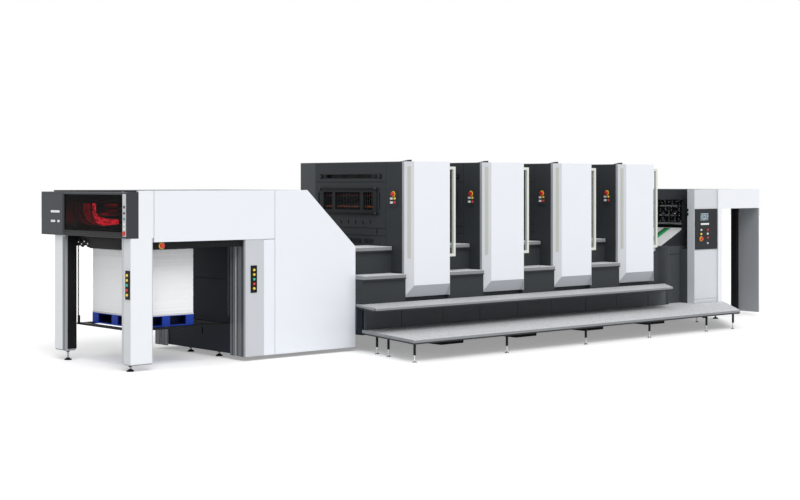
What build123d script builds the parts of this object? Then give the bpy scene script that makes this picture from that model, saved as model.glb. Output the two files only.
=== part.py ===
"""Four-unit sheet-fed offset printing press, in millimetres.

The press runs along X: the delivery stands at -X, then four printing
towers, then the feeder at +X. The operator's side, with the walkway, faces
-Y. The floor is Z = 0 and the origin is the middle of the floor plan.
"""
import os
from math import cos, pi, radians, sin

from build123d import *

os.makedirs("parts", exist_ok=True)

# Printing towers
unit_count = 4
unit_pitch = 1220
tower_length = 660
tower_width = 2004
tower_top = 2088
tower_edge = 10
operator_section = 371
drive_section = 337
drive_chamfer = 45
seam_size = 6
seam_heights = (1238, 1322, 1853)

# Tower covers on the operator's side
cover_depth = 88
cover_bottom = 562
cover_round = 12
bevel_width = 103
bevel_depth = 53
bevel_height = 131
cover_flange = 10
groove_width = 38
groove_depth = 8
grip_play = 0.3
grip_proud = 2
rail_bottom = 1000
rail_top = 2034
rail_reach = 110
rail_size = 32

# Roller guards in the ends of the towers: three barred windows in a frame
guard_bottom = 1488
guard_height = 297
guard_near = 147
guard_far = 103
guard_thickness = 30
guard_depth = 150
guard_border = 70
guard_rim = 46
guard_mullion = 50
side_window = 170
bar_width = 7
bar_pitch = 29
roller_radius = 52
roller_back = 8
roller_rise = 83
roller_spacing = 131

# Slots and vents round the guards
slot_height = 1922
slot_size = 48
slot_depth = 40
slot_margin = 99
side_slot_width = 26
side_slot_height = 190
side_slot_gap = 22
vent_height = 1388
vent_count = 5
vent_pitch = 133
vent_width = 22
vent_tall = 46
vent_tilt = -12
vent_lead = 125
grille_bottom = 1146
grille_height = 51
latch_height = 1285
latch_width = 24
latch_tall = 62

# Drive-side doors
door_sill = 640
door_split = 1380
door_pull_width = 26
door_pull_height = 150

# Buttons and emergency stops
knob_sides = 12
stop_sides = 12
stop_collar = 32
stop_collar_reach = 5
stop_head = 23
stop_head_reach = 24
lamp_radius = 13
lamp_reach = 11
cap_width = 34
cap_height = 24
station_height = 1670
station_width = 120
station_tall = 190
station_plate = 8
station_margin = 34
station_row = 46

# Wedge lugs on top of the towers
lug_length = 120
lug_width = 70
lug_height = 22
lug_setback = 60
lug_inset = 40

# Base, steps and walkway
base_bottom = 180
base_setback = 30
infeed_setback = 150
lower_tread_top = 827
upper_tread_top = 1127
tread_thickness = 55
tread_depth = 245
upper_tread_depth = 455
tread_gap = 17
tread_nose = 10
walkway_reach = 1130
platform_top = 237
platform_thickness = 45
platform_skew = 277
platform_end = 314
board_nose = 8
running_board_top = 517
running_board_thickness = 40
running_board_reach = 480
running_board_skew = 270
running_board_cut = 465
skirt_thickness = 20
skirt_seam_lead = 80
skirt_seam_trail = 110
pad_length = 395
pad_taper = 22
pad_depth = 250
pad_lead = 33
end_column_place = 255
end_column_width = 150
end_column_round = 120
end_column_top = 1008

# Walkway legs and levelling feet
leg_places = (45, 1390, 2670, 3805, 4910, 5455)
end_leg_places = (620, 880)
leg_radius = 12
leg_inset = 42
leg_sides = 8
screw_radius = 6
screw_height = 82
shoe_radius = 24
shoe_height = 8
foot_radius = 38
foot_height = 12
foot_cone = 24
foot_taper = 30
foot_sides = 10
stem_radius = 13
rear_foot_inset = 560
post_foot = 45
far_post_foot = 55

# Delivery housing
delivery_length = 2886
delivery_gap = 633
delivery_width = 1747
delivery_top = 1770
deck_thickness = 15
side_panel = 40
side_panel_bottom = 1260
floor_gap = 45
slope_run = 667
slope_low = 1148
upper_body_bottom = 1300
upper_body_wall = 30
wall_setback = 1422
wall_seam = 828
wall_slot_place = 748
wall_slot_width = 30
wall_slot_bottom = 224
wall_slot_height = 116
column_lip = 16
column_width = 244
column_depth = 265
column_strip = 138
column_round = 18
column_groove = 36
column_groove_depth = 8

# Posts at the open end
post_width = 262
post_depth = 160
post_setback = 51
post_bottom = 60
post_round = 28
post_edge = 12
far_post_width = 125
far_post_depth = 230
far_post_inset = 220
far_post_bottom = 100
far_post_round = 12
guide_thickness = 14
guide_lip = 8
guide_lift = 20

# Delivery hood, its window and its switches
hood_depth = 129
hood_wall = 25
hood_bottom = 1303
hood_relief = 12
hood_edge = 12
lip_radius = 10
lip_height = 33
window_near = 87
window_length = 1165
window_bottom = 1362
window_height = 372
window_thickness = 10
strip_plate = 4
strip_margin = 6
strip_knobs = (70, 118, 174, 228, 288)
panel_margin = 20
key_width = 38
key_height = 24
key_pitch = 47
key_lead = 62
key_upper = 234
key_lower = 134
key_sink = 1.5
key_columns = 4

# Gripper wheels inside the delivery
wheel_teeth = 24
wheel_radius = 150
tooth_depth = 12
wheel_width = 16
wheel_setback = 220
wheel_inset = 40
grip_shaft = 20
grip_bar = 26
grip_angles = (20, 110)

# Delivery pile and its carrier
sheet_length = 660
sheet_width = 900
pile_setback = 314
pile_top = 1170
pallet_height = 125
pallet_deck = 24
pallet_skid = 12
pocket_count = 2
pocket_width = 191
pocket_length = 270
pocket_recess = 110
carrier_top = 390
carrier_thickness = 18
carrier_lead = 130
carrier_tail = 60
carrier_border = 70
carrier_windows = 3
chain_size = 14
chain_inset = 12
chain_post_gap = 55
chain_far_gap = 15
chain_top = 1700
chain_hole = 44
chain_clearance = 0.3

# Beams, suction roller and sheet stops over the pile
beam_drop = 110
beam_width = 80
suction_radius = 32
suction_shaft = 16
suction_count = 7
suction_width = 50
stop_count = 5
stop_width = 34
stop_drop = 135
stop_plate = 12
stop_gap = 18

# Button strips on the delivery
strip_bottom = 706
strip_height = 282
strip_width = 78
post_strip_inset = 10
column_strip_inset = 76
strip_lamp_count = 5
strip_lamp_rise = 44
strip_lamp_pitch = 48
beam_stop_place = 115

# Infeed
infeed_length = 690
frame_plate = 60
frame_beam = 137
frame_post = 60
infeed_body_top = 812
frame_reach = 180
frame_seam = 888
feed_board_thickness = 30
feed_rise = 426
feed_reach = 150
feed_margin = 10
pull_shaft = 14
pull_radius = 34
pull_width = 30
pull_count = 6
pull_rise = 60
pull_setback = 20

# Feeder
feeder_length = 1430
feeder_lead = 150
feeder_top = 1762
feeder_gap = 60
feeder_roof = 40
cabinet_length = 490
cabinet_depth = 140
cabinet_seam = 287
column_length = 84
column_reach = 330
header_height = 263
end_panel_thickness = 25
end_panel_width = 330
end_panel_bottom = 45
guide_post_width = 90
guide_post_depth = 55
guide_foot = 20

# Control console on the feeder
console_bottom = 956
console_height = 542
console_plate = 22
console_gap = 8
screen_length = 175
screen_height = 101
screen_depth = 5
screen_left = 110
screen_drop = 55
key_row_drop = 214
key_row_count = 4
key_row_pitch = 45
left_lamps = 121
left_drops = (281, 335)
right_lamps = 260
right_drops = (281, 335, 386, 460)
stop_drop_place = 400

# Suction head over the feeder pile
head_length = 294
head_height = 300
head_gap = 30
head_chamfer = 40
apron_drop = 130
apron_thickness = 30
barrel_count = 4
barrel_radius = 22
barrel_length = 120
barrel_margin = 80

# Places along the press
units_length = (unit_count - 1) * unit_pitch + tower_length
press_length = delivery_length + delivery_gap + units_length + infeed_length + feeder_length
x_delivery = -press_length / 2
x_rear = x_delivery + delivery_length
x_units = [x_rear + delivery_gap + k * unit_pitch for k in range(unit_count)]
x_infeed = x_units[-1] + tower_length
x_feeder = x_infeed + infeed_length
x_end = x_feeder + feeder_length
x_end_column = x_infeed + end_column_place

# Places across the press
y_walk = -(walkway_reach + tower_width) / 2
y_front = y_walk + walkway_reach
y_base = y_front + base_setback
y_skirt = y_base - skirt_thickness
y_infeed = y_base + infeed_setback
y_drive = y_front + tower_width
y_base_far = y_drive - feeder_gap
y_frame_near = y_front + operator_section
y_frame_far = y_drive - drive_section
y_middle = (y_frame_near + y_frame_far) / 2
y_near = y_middle - delivery_width / 2
y_far = y_middle + delivery_width / 2
y_feeder = y_front - feeder_lead
y_tower = y_front + cover_depth
base_top = running_board_top


def draw(outline, points):
    """Draw an outline on the open sketch; a point's third value rounds its corner."""
    Polygon(*[point[:2] for point in points], align=None)
    for a, b, radius in [point for point in points if len(point) == 3]:
        fillet(outline.vertices().sort_by_distance(Vector(a, b, 0))[0], radius)


def plan(points, z0, z1, mode=Mode.ADD):
    """Extrude an outline of (x, y) points from z0 to z1."""
    with BuildSketch(Plane.XY.offset(z0)) as outline:
        draw(outline, points)
    extrude(outline.sketch, amount=z1 - z0, mode=mode)


def profile_along_y(points, y0, y1, mode=Mode.ADD):
    """Extrude an outline of (x, z) points from y0 to y1."""
    with BuildSketch(Plane.XZ.offset(-y1)) as outline:
        draw(outline, points)
    extrude(outline.sketch, amount=y1 - y0, mode=mode)


def profile_along_x(points, x0, x1, mode=Mode.ADD):
    """Extrude an outline of (y, z) points from x0 to x1."""
    with BuildSketch(Plane.YZ.offset(x0)) as outline:
        draw(outline, points)
    extrude(outline.sketch, amount=x1 - x0, mode=mode)


def rectangle(a0, a1, b0, b1):
    """Give the corners of a rectangle between two limits each way."""
    return [(a0, b0), (a1, b0), (a1, b1), (a0, b1)]


def patches(plane, rectangles, amount, mode=Mode.ADD):
    """Extrude several rectangles, each given by four limits, from one plane."""
    with BuildSketch(plane) as outline:
        for a0, a1, b0, b1 in rectangles:
            with Locations(((a0 + a1) / 2, (b0 + b1) / 2)):
                Rectangle(a1 - a0, b1 - b0)
    extrude(outline.sketch, amount=amount, mode=mode)


def knobs(plane, places, radius, reach, sides=knob_sides, taper=0):
    """Extrude a many-sided round knob at each place; a negative reach goes backwards."""
    with BuildSketch(plane) as outline:
        with Locations(*places):
            RegularPolygon(radius, sides)
    extrude(outline.sketch, amount=reach, taper=taper)


def emergency_stop(plane, place, outward):
    """Add a stop button with its collar; outward is the side of the plane it is on."""
    knobs(plane, [place], stop_collar, outward * stop_collar_reach, stop_sides)
    knobs(plane, [place], stop_head, outward * stop_head_reach, stop_sides)


def rod_along_y(x, z, radius, y0, y1, sides=knob_sides):
    """Add a round bar that runs from y0 to y1."""
    knobs(Plane.XZ.offset(-y1), [(x, z)], radius, y1 - y0, sides)


def walkway_leg(x, y, top):
    """Add a slim leg with its screw and its small shoe, from the floor up."""
    knobs(Plane.XY, [(x, y)], shoe_radius, shoe_height, leg_sides)
    knobs(Plane.XY, [(x, y)], screw_radius, screw_height, leg_sides)
    knobs(Plane.XY.offset(screw_height), [(x, y)], leg_radius, top - screw_height, leg_sides)


def levelling_foot(x, y, height):
    """Add a levelling foot with its cone and stem, from the floor up."""
    knobs(Plane.XY, [(x, y)], foot_radius, foot_height, foot_sides)
    cone = stem_radius * 2
    knobs(Plane.XY.offset(foot_height), [(x, y)], cone, foot_cone, foot_sides, foot_taper)
    knobs(Plane.XY, [(x, y)], stem_radius, height, leg_sides)


def save(piece, label):
    """Name a finished piece and write its STEP file."""
    piece.part.label = label
    export_step(piece.part, f"parts/{label}.step")


# Base under the towers and the infeed, with the tapered pads that carry it
base_plan = [
    (x_rear, y_base),
    (x_end_column, y_base),
    (x_end_column, y_infeed),
    (x_feeder, y_infeed),
    (x_feeder, y_base_far),
    (x_rear, y_base_far),
]
with BuildPart() as machine_base:
    plan(base_plan, base_bottom, base_top)
save(machine_base, "machine_base")

with BuildPart() as floor_pads:
    for x in x_units:
        x0 = x + tower_length - pad_length / 2
        x1 = x0 + pad_length
        pad = [(x0, base_bottom), (x0 + pad_taper, 0), (x1 - pad_taper, 0), (x1, base_bottom)]
        for y in (y_front - pad_lead, y_base_far - pad_depth):
            profile_along_y(pad, y, y + pad_depth)
save(floor_pads, "floor_pads")

# Windows of the roller guards, shared by the towers, guards and grilles
guard_y0 = y_frame_near + guard_near
guard_y1 = y_frame_far - guard_far
guard_top = guard_bottom + guard_height
near_window = (guard_y0 + guard_border, guard_y0 + guard_border + side_window)
far_window = (guard_y1 - guard_border - side_window, guard_y1 - guard_border)
middle_window = (near_window[1] + guard_mullion, far_window[0] - guard_mullion)
windows = (near_window, middle_window, far_window)
window_z0 = guard_bottom + guard_rim
window_z1 = guard_top - guard_rim
grille_top = grille_bottom + grille_height

# Slots, vents and latch pockets in a tower's end, as limits in y and z
slot_z0 = slot_height - slot_size / 2
slot_z1 = slot_height + slot_size / 2
end_slots = [(guard_y0 + slot_margin, guard_y1 - slot_margin, slot_z0, slot_z1)]
for y in (guard_y0, guard_y1 - slot_size):
    end_slots.append((y, y + slot_size, slot_z0, slot_z1))
side_z0 = (guard_bottom + guard_top - side_slot_height) / 2
for y in (guard_y0 - side_slot_gap - side_slot_width, guard_y1 + side_slot_gap):
    end_slots.append((y, y + side_slot_width, side_z0, side_z0 + side_slot_height))
latch_z0 = latch_height - latch_tall / 2
end_slots.append((guard_y0, guard_y0 + latch_width, latch_z0, latch_z0 + latch_tall))
for y0, y1 in windows:
    end_slots.append((y0, y1, grille_bottom, grille_top))

# Panel seams on both ends of a tower
end_seams = [(y - seam_size, y, base_top, tower_top) for y in (y_frame_near, y_frame_far)]
for z in seam_heights:
    end_seams.append((y_frame_near, y_frame_far - seam_size, z, z + seam_size))
vent_places = [(guard_y0 + vent_lead + i * vent_pitch, vent_height) for i in range(vent_count)]

# A cover's front is framed by a mitred bevel on its left and its foot
slant = Vector(bevel_width, -bevel_depth, 0).normalized()
outward = Vector(-bevel_depth, -bevel_width, 0)
rail_middle = (rail_bottom + rail_top) / 2
for k, x in enumerate(x_units, start=1):
    x1 = x + tower_length
    with BuildPart() as tower:
        profile_along_y(rectangle(x, x1, base_top, tower_top), y_tower, y_frame_far)
        chamfer(tower.edges().filter_by(Axis.Y).group_by(Axis.Z)[-1], tower_edge)
        opening = [(guard_y0, guard_y1, guard_bottom, guard_top)]
        patches(Plane.YZ.offset(x), opening, guard_depth, Mode.SUBTRACT)
        patches(Plane.YZ.offset(x), end_slots, slot_depth, Mode.SUBTRACT)
        with BuildSketch(Plane.YZ.offset(x)) as vents:
            with Locations(*vent_places):
                Rectangle(vent_width, vent_tall, rotation=vent_tilt)
        extrude(amount=slot_depth, mode=Mode.SUBTRACT)
        patches(Plane.YZ.offset(x), end_seams, seam_size, Mode.SUBTRACT)
        patches(Plane.YZ.offset(x1), end_seams, -seam_size, Mode.SUBTRACT)
    save(tower, f"unit_{k}_tower")

    with BuildPart() as cover:
        cover_plan = [
            (x, y_tower),
            (x, y_front + bevel_depth),
            (x + bevel_width, y_front),
            (x1, y_front, cover_round),
            (x1, y_tower),
        ]
        plan(cover_plan, cover_bottom, tower_top)
        foot = [
            (y_front - bevel_depth, cover_bottom - bevel_height),
            (y_front + bevel_depth, cover_bottom),
            (y_front - bevel_depth, cover_bottom + 2 * bevel_height),
        ]
        profile_along_x(foot, x, x1 - cover_flange, Mode.SUBTRACT)
        middle = Vector(x + bevel_width / 2, y_front + bevel_depth / 2, rail_middle)
        with BuildSketch(Plane(middle, x_dir=slant, z_dir=outward)):
            Rectangle(groove_width, rail_top - rail_bottom)
        extrude(amount=-groove_depth, mode=Mode.SUBTRACT)
    save(cover, f"unit_{k}_cover")

# Drive covers on the far side, with chamfered edges, doors and pulls
with BuildPart() as drive_covers:
    seams = []
    pulls = []
    for x in x_units:
        x1 = x + tower_length
        profile_along_y(rectangle(x, x1, base_top, tower_top), y_frame_far, y_drive)
        middle = x + tower_length / 2
        door = (x + drive_chamfer, x1 - drive_chamfer)
        seams.append((middle, middle + seam_size, door_sill, tower_top - drive_chamfer))
        seams += [(*door, z, z + seam_size) for z in (door_sill, door_split)]
        z0 = door_split - drive_chamfer - door_pull_height
        for x0 in (middle - drive_chamfer - door_pull_width, middle + drive_chamfer):
            pulls.append((x0, x0 + door_pull_width, z0, z0 + door_pull_height))
    outer = drive_covers.edges().filter_by(Axis.Z).group_by(Axis.Y)[-1]
    upper = drive_covers.edges().filter_by(Axis.X).group_by(Axis.Y)[-1].group_by(Axis.Z)[-1]
    chamfer(outer + upper, drive_chamfer)
    patches(Plane.XZ.offset(-y_drive), seams, seam_size, Mode.SUBTRACT)
    patches(Plane.XZ.offset(-y_drive), pulls, groove_depth, Mode.SUBTRACT)
save(drive_covers, "drive_covers")

# Roller guards: a frame of three windows filled with upright bars
guard_bars = []
for y0, y1 in windows:
    bars = int((y1 - y0) / bar_pitch)
    guard_bars += [y0 + i * (y1 - y0) / bars for i in range(1, bars)]
with BuildPart() as roller_guards:
    for x in x_units:
        with BuildSketch(Plane.YZ.offset(x - guard_thickness / 2)) as frame:
            draw(frame, rectangle(guard_y0, guard_y1, guard_bottom, guard_top))
            for y0, y1 in windows:
                with Locations(((y0 + y1) / 2, (window_z0 + window_z1) / 2)):
                    Rectangle(y1 - y0, window_z1 - window_z0, mode=Mode.SUBTRACT)
        extrude(amount=guard_thickness)
        with BuildSketch(Plane.YZ.offset(x - bar_width / 2)) as bars:
            with Locations(*[(y, (window_z0 + window_z1) / 2) for y in guard_bars]):
                Rectangle(bar_width, window_z1 - window_z0)
        extrude(amount=bar_width)
save(roller_guards, "roller_guards")

# Rollers behind the guards, end to end in the openings of the towers
with BuildPart() as ink_rollers:
    for x in x_units:
        roller_x = x + guard_depth - roller_radius - roller_back
        for z in (guard_bottom + roller_rise, guard_bottom + roller_rise + roller_spacing):
            rod_along_y(roller_x, z, roller_radius, guard_y0, guard_y1)
save(ink_rollers, "ink_rollers")

# Button stations on the tower ends, near the operator
station_y0 = (y_tower + y_frame_near - station_width) / 2
station_z1 = station_height + station_tall / 2
stop_y = station_y0 + station_width / 2
lamp_y = station_y0 + station_margin
cap_y = station_y0 + station_width - station_margin
row_zs = [station_height - i * station_row for i in range(2)]
with BuildPart() as button_stations:
    for x in x_units:
        plate = rectangle(station_y0, station_y0 + station_width, station_z1 - station_tall, station_z1)
        profile_along_x(plate, x - station_plate, x)
        face = Plane.YZ.offset(x - station_plate)
        emergency_stop(face, (stop_y, station_z1 - station_row), -1)
        knobs(face, [(lamp_y, z) for z in row_zs], lamp_radius, -lamp_reach)
        caps = [(cap_y - cap_width / 2, cap_y + cap_width / 2, z - cap_height / 2, z + cap_height / 2)
                for z in row_zs]
        patches(face, caps, -lamp_reach)
save(button_stations, "button_stations")

with BuildPart() as tower_lugs:
    for x in x_units:
        x0 = x + lug_setback
        wedge = [(x0, tower_top), (x0 + lug_length, tower_top), (x0 + lug_length, tower_top + lug_height)]
        profile_along_y(wedge, y_tower + lug_inset, y_tower + lug_inset + lug_width)
save(tower_lugs, "tower_lugs")

# Grab rails at the right edge of each cover, and the grips in the grooves
rail_y = y_front + cover_depth / 2
with BuildPart() as grab_rails:
    for x in x_units:
        x0 = x + tower_length
        x1 = x0 + rail_reach
        rail = [
            (x0, rail_bottom),
            (x1, rail_bottom),
            (x1, rail_top),
            (x0, rail_top),
            (x0, rail_top - rail_size),
            (x1 - rail_size, rail_top - rail_size),
            (x1 - rail_size, rail_bottom + rail_size),
            (x0, rail_bottom + rail_size),
        ]
        profile_along_y(rail, rail_y - rail_size / 2, rail_y + rail_size / 2)
save(grab_rails, "grab_rails")

with BuildPart() as cover_grips:
    for x in x_units:
        middle = Vector(x + bevel_width / 2, y_front + bevel_depth / 2, rail_middle)
        with BuildSketch(Plane(middle, x_dir=slant, z_dir=outward).offset(-groove_depth)):
            Rectangle(groove_width - 2 * grip_play, rail_top - rail_bottom - 2 * grip_play)
        extrude(amount=groove_depth + grip_proud)
save(cover_grips, "cover_grips")

# Steps between the towers: stepped blocks with rounded light treads on top
step_starts = [x_rear] + [x + tower_length for x in x_units[:-1]]
y_upper = y_front + tread_depth
y_riser = y_upper + base_setback
tread_low = lower_tread_top - tread_thickness
tread_high = upper_tread_top - tread_thickness
step_side = [
    (y_base, base_top),
    (y_base, tread_low),
    (y_riser, tread_low),
    (y_riser, tread_high),
    (y_frame_far, tread_high),
    (y_frame_far, base_top),
]
with BuildPart() as step_blocks:
    for x0, x1 in zip(step_starts, x_units):
        profile_along_x(step_side, x0, x1)
save(step_blocks, "step_blocks")

lower_tread = [
    (y_front, tread_low),
    (y_front, lower_tread_top, tread_nose),
    (y_riser, lower_tread_top),
    (y_riser, tread_low),
]
upper_tread = [
    (y_upper, tread_high),
    (y_upper, upper_tread_top, tread_nose),
    (y_upper + upper_tread_depth, upper_tread_top),
    (y_upper + upper_tread_depth, tread_high),
]
with BuildPart() as step_treads:
    for x0, x1 in zip(step_starts, x_units):
        profile_along_x(lower_tread, x0, x1 - tread_gap)
        profile_along_x(upper_tread, x0, x1 - tread_gap)
save(step_treads, "step_treads")

# Running board, its skirt with the rounded end column, and the platform
board_left = x_rear + base_setback - running_board_skew
y_board = y_front - running_board_reach
running_plan = [
    (board_left, y_board),
    (x_end_column - running_board_cut, y_board),
    (x_end_column, y_base),
    (board_left + running_board_skew, y_base),
]
skirt_top = running_board_top - running_board_thickness
with BuildPart() as running_board:
    plan(running_plan, skirt_top, running_board_top)
    fillet(running_board.edges().group_by(Axis.Z)[-1].group_by(Axis.Y)[0], board_nose)
save(running_board, "running_board")

with BuildPart() as base_skirt:
    profile_along_y(rectangle(x_rear + base_setback, x_end_column, platform_top, skirt_top), y_skirt, y_base)
    seams = []
    for x in x_units:
        for x0 in (x - skirt_seam_lead, x + tower_length - skirt_seam_trail):
            seams.append((x0, x0 + seam_size, platform_top, skirt_top))
    patches(Plane.XZ.offset(-y_skirt), seams, -seam_size, Mode.SUBTRACT)
save(base_skirt, "base_skirt")

column_end = x_end_column + end_column_width
with BuildPart() as end_column:
    column_plan = [
        (x_end_column, y_skirt),
        (column_end, y_skirt, end_column_round),
        (column_end, y_infeed),
        (x_end_column, y_infeed),
    ]
    plan(column_plan, platform_top, end_column_top)
save(end_column, "end_column")

platform_left = x_rear - platform_skew
platform_right = x_infeed + platform_end
platform_low = platform_top - platform_thickness
platform_plan = [
    (platform_left, y_walk),
    (platform_right, y_walk),
    (platform_right + y_feeder - y_walk, y_feeder),
    (x_feeder, y_feeder),
    (x_feeder, y_infeed),
    (x_end_column, y_infeed),
    (x_end_column, y_base),
    (platform_left + platform_skew, y_base),
]
with BuildPart() as walkway_platform:
    plan(platform_plan, platform_low, platform_top)
    fillet(walkway_platform.edges().group_by(Axis.Z)[-1].group_by(Axis.Y)[0], board_nose)
save(walkway_platform, "walkway_platform")

with BuildPart() as walkway_legs:
    for place in leg_places:
        walkway_leg(platform_left + place, y_walk + leg_inset, platform_low)
    for place in end_leg_places:
        skew = platform_skew * place / (y_base - y_walk)
        walkway_leg(platform_left + skew + leg_inset, y_walk + place, platform_low)
    walkway_leg(x_feeder - 2 * leg_inset, y_feeder - 2 * leg_inset, platform_low)
save(walkway_legs, "walkway_legs")

# Delivery body: the closed rear part and the open shell of the upper part
x_wall = x_delivery + wall_setback
x_slope = x_rear - slope_run
x_hood = x_delivery + hood_relief
x_hood_back = x_hood + hood_depth
deck_bottom = delivery_top - deck_thickness
inner_near = y_near + side_panel
inner_far = y_far - side_panel
body_side = [
    (x_wall, post_bottom),
    (x_rear, post_bottom),
    (x_rear, slope_low - deck_thickness),
    (x_slope, deck_bottom),
    (x_wall, deck_bottom),
]
slot_y = inner_near + wall_slot_place
wall_cuts = [
    (inner_near + column_depth, inner_far - column_depth, wall_seam, wall_seam + seam_size),
    (slot_y, slot_y + wall_slot_width, wall_slot_bottom, wall_slot_bottom + wall_slot_height),
]
with BuildPart() as delivery_body:
    profile_along_y(body_side, inner_near, inner_far)
    patches(Plane.YZ.offset(x_wall), wall_cuts, groove_depth, Mode.SUBTRACT)
save(delivery_body, "delivery_body")

x_paper = x_delivery + pile_setback
x_paper_end = x_paper + sheet_length
y_far_post = y_far - far_post_inset - far_post_depth
chain_rows = (y_near + post_depth + chain_post_gap, y_far_post - chain_far_gap)
y_paper = (sum(chain_rows) - sheet_width) / 2
x_carrier = x_paper - carrier_lead
x_carrier_end = x_wall - carrier_tail
chain_columns = (x_carrier + chain_inset, x_carrier_end - chain_inset)
with BuildPart() as delivery_upper_body:
    profile_along_y(rectangle(x_hood_back, x_wall, upper_body_bottom, deck_bottom), inner_near, inner_far)
    offset(amount=-upper_body_wall, openings=delivery_upper_body.faces().sort_by(Axis.X)[0])
    holes = []
    for x in chain_columns:
        x0 = x - chain_size / 2 - chain_clearance
        for y in chain_rows:
            holes.append((x0, x0 + chain_hole, y - chain_hole / 2, y + chain_hole / 2))
    patches(Plane.XY.offset(upper_body_bottom), holes, upper_body_wall, Mode.SUBTRACT)
save(delivery_upper_body, "delivery_upper_body")

top_side = [
    (x_hood_back, deck_bottom),
    (x_slope, deck_bottom),
    (x_rear, slope_low - deck_thickness),
    (x_rear, slope_low),
    (x_slope, delivery_top),
    (x_hood_back, delivery_top),
]
with BuildPart() as delivery_top_cover:
    profile_along_y(top_side, inner_near, inner_far)
save(delivery_top_cover, "delivery_top_cover")

# Delivery side panels: an upper panel with its strip, and a rear panel
x_panel = x_delivery + post_setback + post_width
x_column = x_wall - column_lip
x_column_end = x_column + column_width
x_seam = x_column_end + column_strip
rear_side = [
    (x_column_end, floor_gap),
    (x_rear, floor_gap),
    (x_rear, slope_low),
    (x_slope, delivery_top),
    (x_seam, delivery_top),
    (x_seam, side_panel_bottom),
    (x_column_end, side_panel_bottom),
]
panel_rows = (y_near, inner_far)
with BuildPart() as upper_panels:
    for y in panel_rows:
        profile_along_y(rectangle(x_panel, x_seam, side_panel_bottom, delivery_top), y, y + side_panel)
    seam = [(x_panel, x_panel + seam_size, side_panel_bottom, delivery_top)]
    patches(Plane.XZ.offset(-y_near), seam, -seam_size, Mode.SUBTRACT)
    patches(Plane.XZ.offset(-y_far), seam, seam_size, Mode.SUBTRACT)
save(upper_panels, "delivery_upper_panels")

with BuildPart() as rear_panels:
    for y in panel_rows:
        profile_along_y(rear_side, y, y + side_panel)
    seam = [(x_seam, x_seam + seam_size, floor_gap, delivery_top)]
    seam.append((x_column_end, x_seam, side_panel_bottom - seam_size, side_panel_bottom))
    patches(Plane.XZ.offset(-y_near), seam, -seam_size, Mode.SUBTRACT)
    patches(Plane.XZ.offset(-y_far), seam, seam_size, Mode.SUBTRACT)
save(rear_panels, "delivery_rear_panels")

# Corner columns of the rear part, bent round its front corners and grooved
column_face = y_near + seam_size
with BuildPart() as corner_columns:
    corner = [
        (x_column, column_face, column_round),
        (x_column_end, column_face),
        (x_column_end, inner_near),
        (x_wall, inner_near),
        (x_wall, y_near + column_depth),
        (x_column, y_near + column_depth),
    ]
    plan(corner, floor_gap, side_panel_bottom)
    groove_y = y_near + column_depth / 2
    groove = [(groove_y, groove_y + column_groove, floor_gap, side_panel_bottom)]
    patches(Plane.YZ.offset(x_column), groove, column_groove_depth, Mode.SUBTRACT)
    mirror(about=Plane.XZ.offset(-y_middle))
save(corner_columns, "delivery_columns")

# Posts at the open end
x_post = x_delivery + post_setback
with BuildPart() as near_post:
    post_plan = [
        (x_post, y_near),
        (x_panel, y_near, post_round),
        (x_panel, y_near + post_depth, post_round),
        (x_post, y_near + post_depth, post_round),
    ]
    plan(post_plan, post_bottom, upper_body_bottom)
    chamfer(near_post.edges().group_by(Axis.Z)[0], post_edge)
    profile_along_y(rectangle(x_hood_back, x_panel, upper_body_bottom, delivery_top), y_near, inner_near)
save(near_post, "delivery_near_post")

with BuildPart() as far_post:
    x1 = x_post + far_post_width
    y1 = y_far_post + far_post_depth
    post_plan = [
        (x_post, y_far_post),
        (x1, y_far_post),
        (x1, y1, far_post_round),
        (x_post, y1, far_post_round),
    ]
    plan(post_plan, far_post_bottom, upper_body_bottom)
    chamfer(far_post.edges().group_by(Axis.Z)[0].group_by(Axis.Y)[-1], post_edge)
save(far_post, "delivery_far_post")

# Channels that guide the pile, with their lips turned towards it
with BuildPart() as post_guides:
    for y, side, z0 in ((y_near + post_depth, 1, post_bottom), (y_far_post, -1, far_post_bottom)):
        x0 = x_post + post_round
        x1 = x_post + far_post_width
        channel = [
            (x0, y),
            (x1, y),
            (x1, y + side * guide_thickness),
            (x1 - guide_lip, y + side * guide_thickness),
            (x1 - guide_lip, y + side * guide_lip),
            (x0 + guide_lip, y + side * guide_lip),
            (x0 + guide_lip, y + side * guide_thickness),
            (x0, y + side * guide_thickness),
        ]
        plan(channel, z0 + guide_lift, upper_body_bottom)
save(post_guides, "delivery_post_guides")

# Hood over the open end, with its window, lip, key panel and switch strip
w0 = y_near + window_near
w1 = w0 + window_length
window_top = min(window_bottom + window_height, deck_bottom - hood_wall)
with BuildPart() as delivery_hood:
    profile_along_y(rectangle(x_hood, x_hood_back, hood_bottom, deck_bottom), y_near, y_far)
    upright_edges = delivery_hood.edges().filter_by(Axis.Z).group_by(Axis.X)[0]
    long_edges = delivery_hood.edges().filter_by(Axis.Y).group_by(Axis.X)[0]
    fillet(upright_edges + long_edges, hood_edge)
    inside = rectangle(x_hood + hood_wall, x_hood_back, hood_bottom + hood_wall, deck_bottom - hood_wall)
    profile_along_y(inside, y_near + hood_wall, y_far - hood_wall, Mode.SUBTRACT)
    patches(Plane.YZ.offset(x_hood), [(w0, w1, window_bottom, window_top)], hood_wall, Mode.SUBTRACT)
    rod_along_y(x_hood, hood_bottom + lip_height, lip_radius, w0, w1)
save(delivery_hood, "delivery_hood")

with BuildPart() as delivery_window:
    x0 = x_hood + (hood_wall - window_thickness) / 2
    profile_along_x(rectangle(w0, w1, window_bottom, window_top), x0, x0 + window_thickness)
save(delivery_window, "delivery_window")

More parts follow.
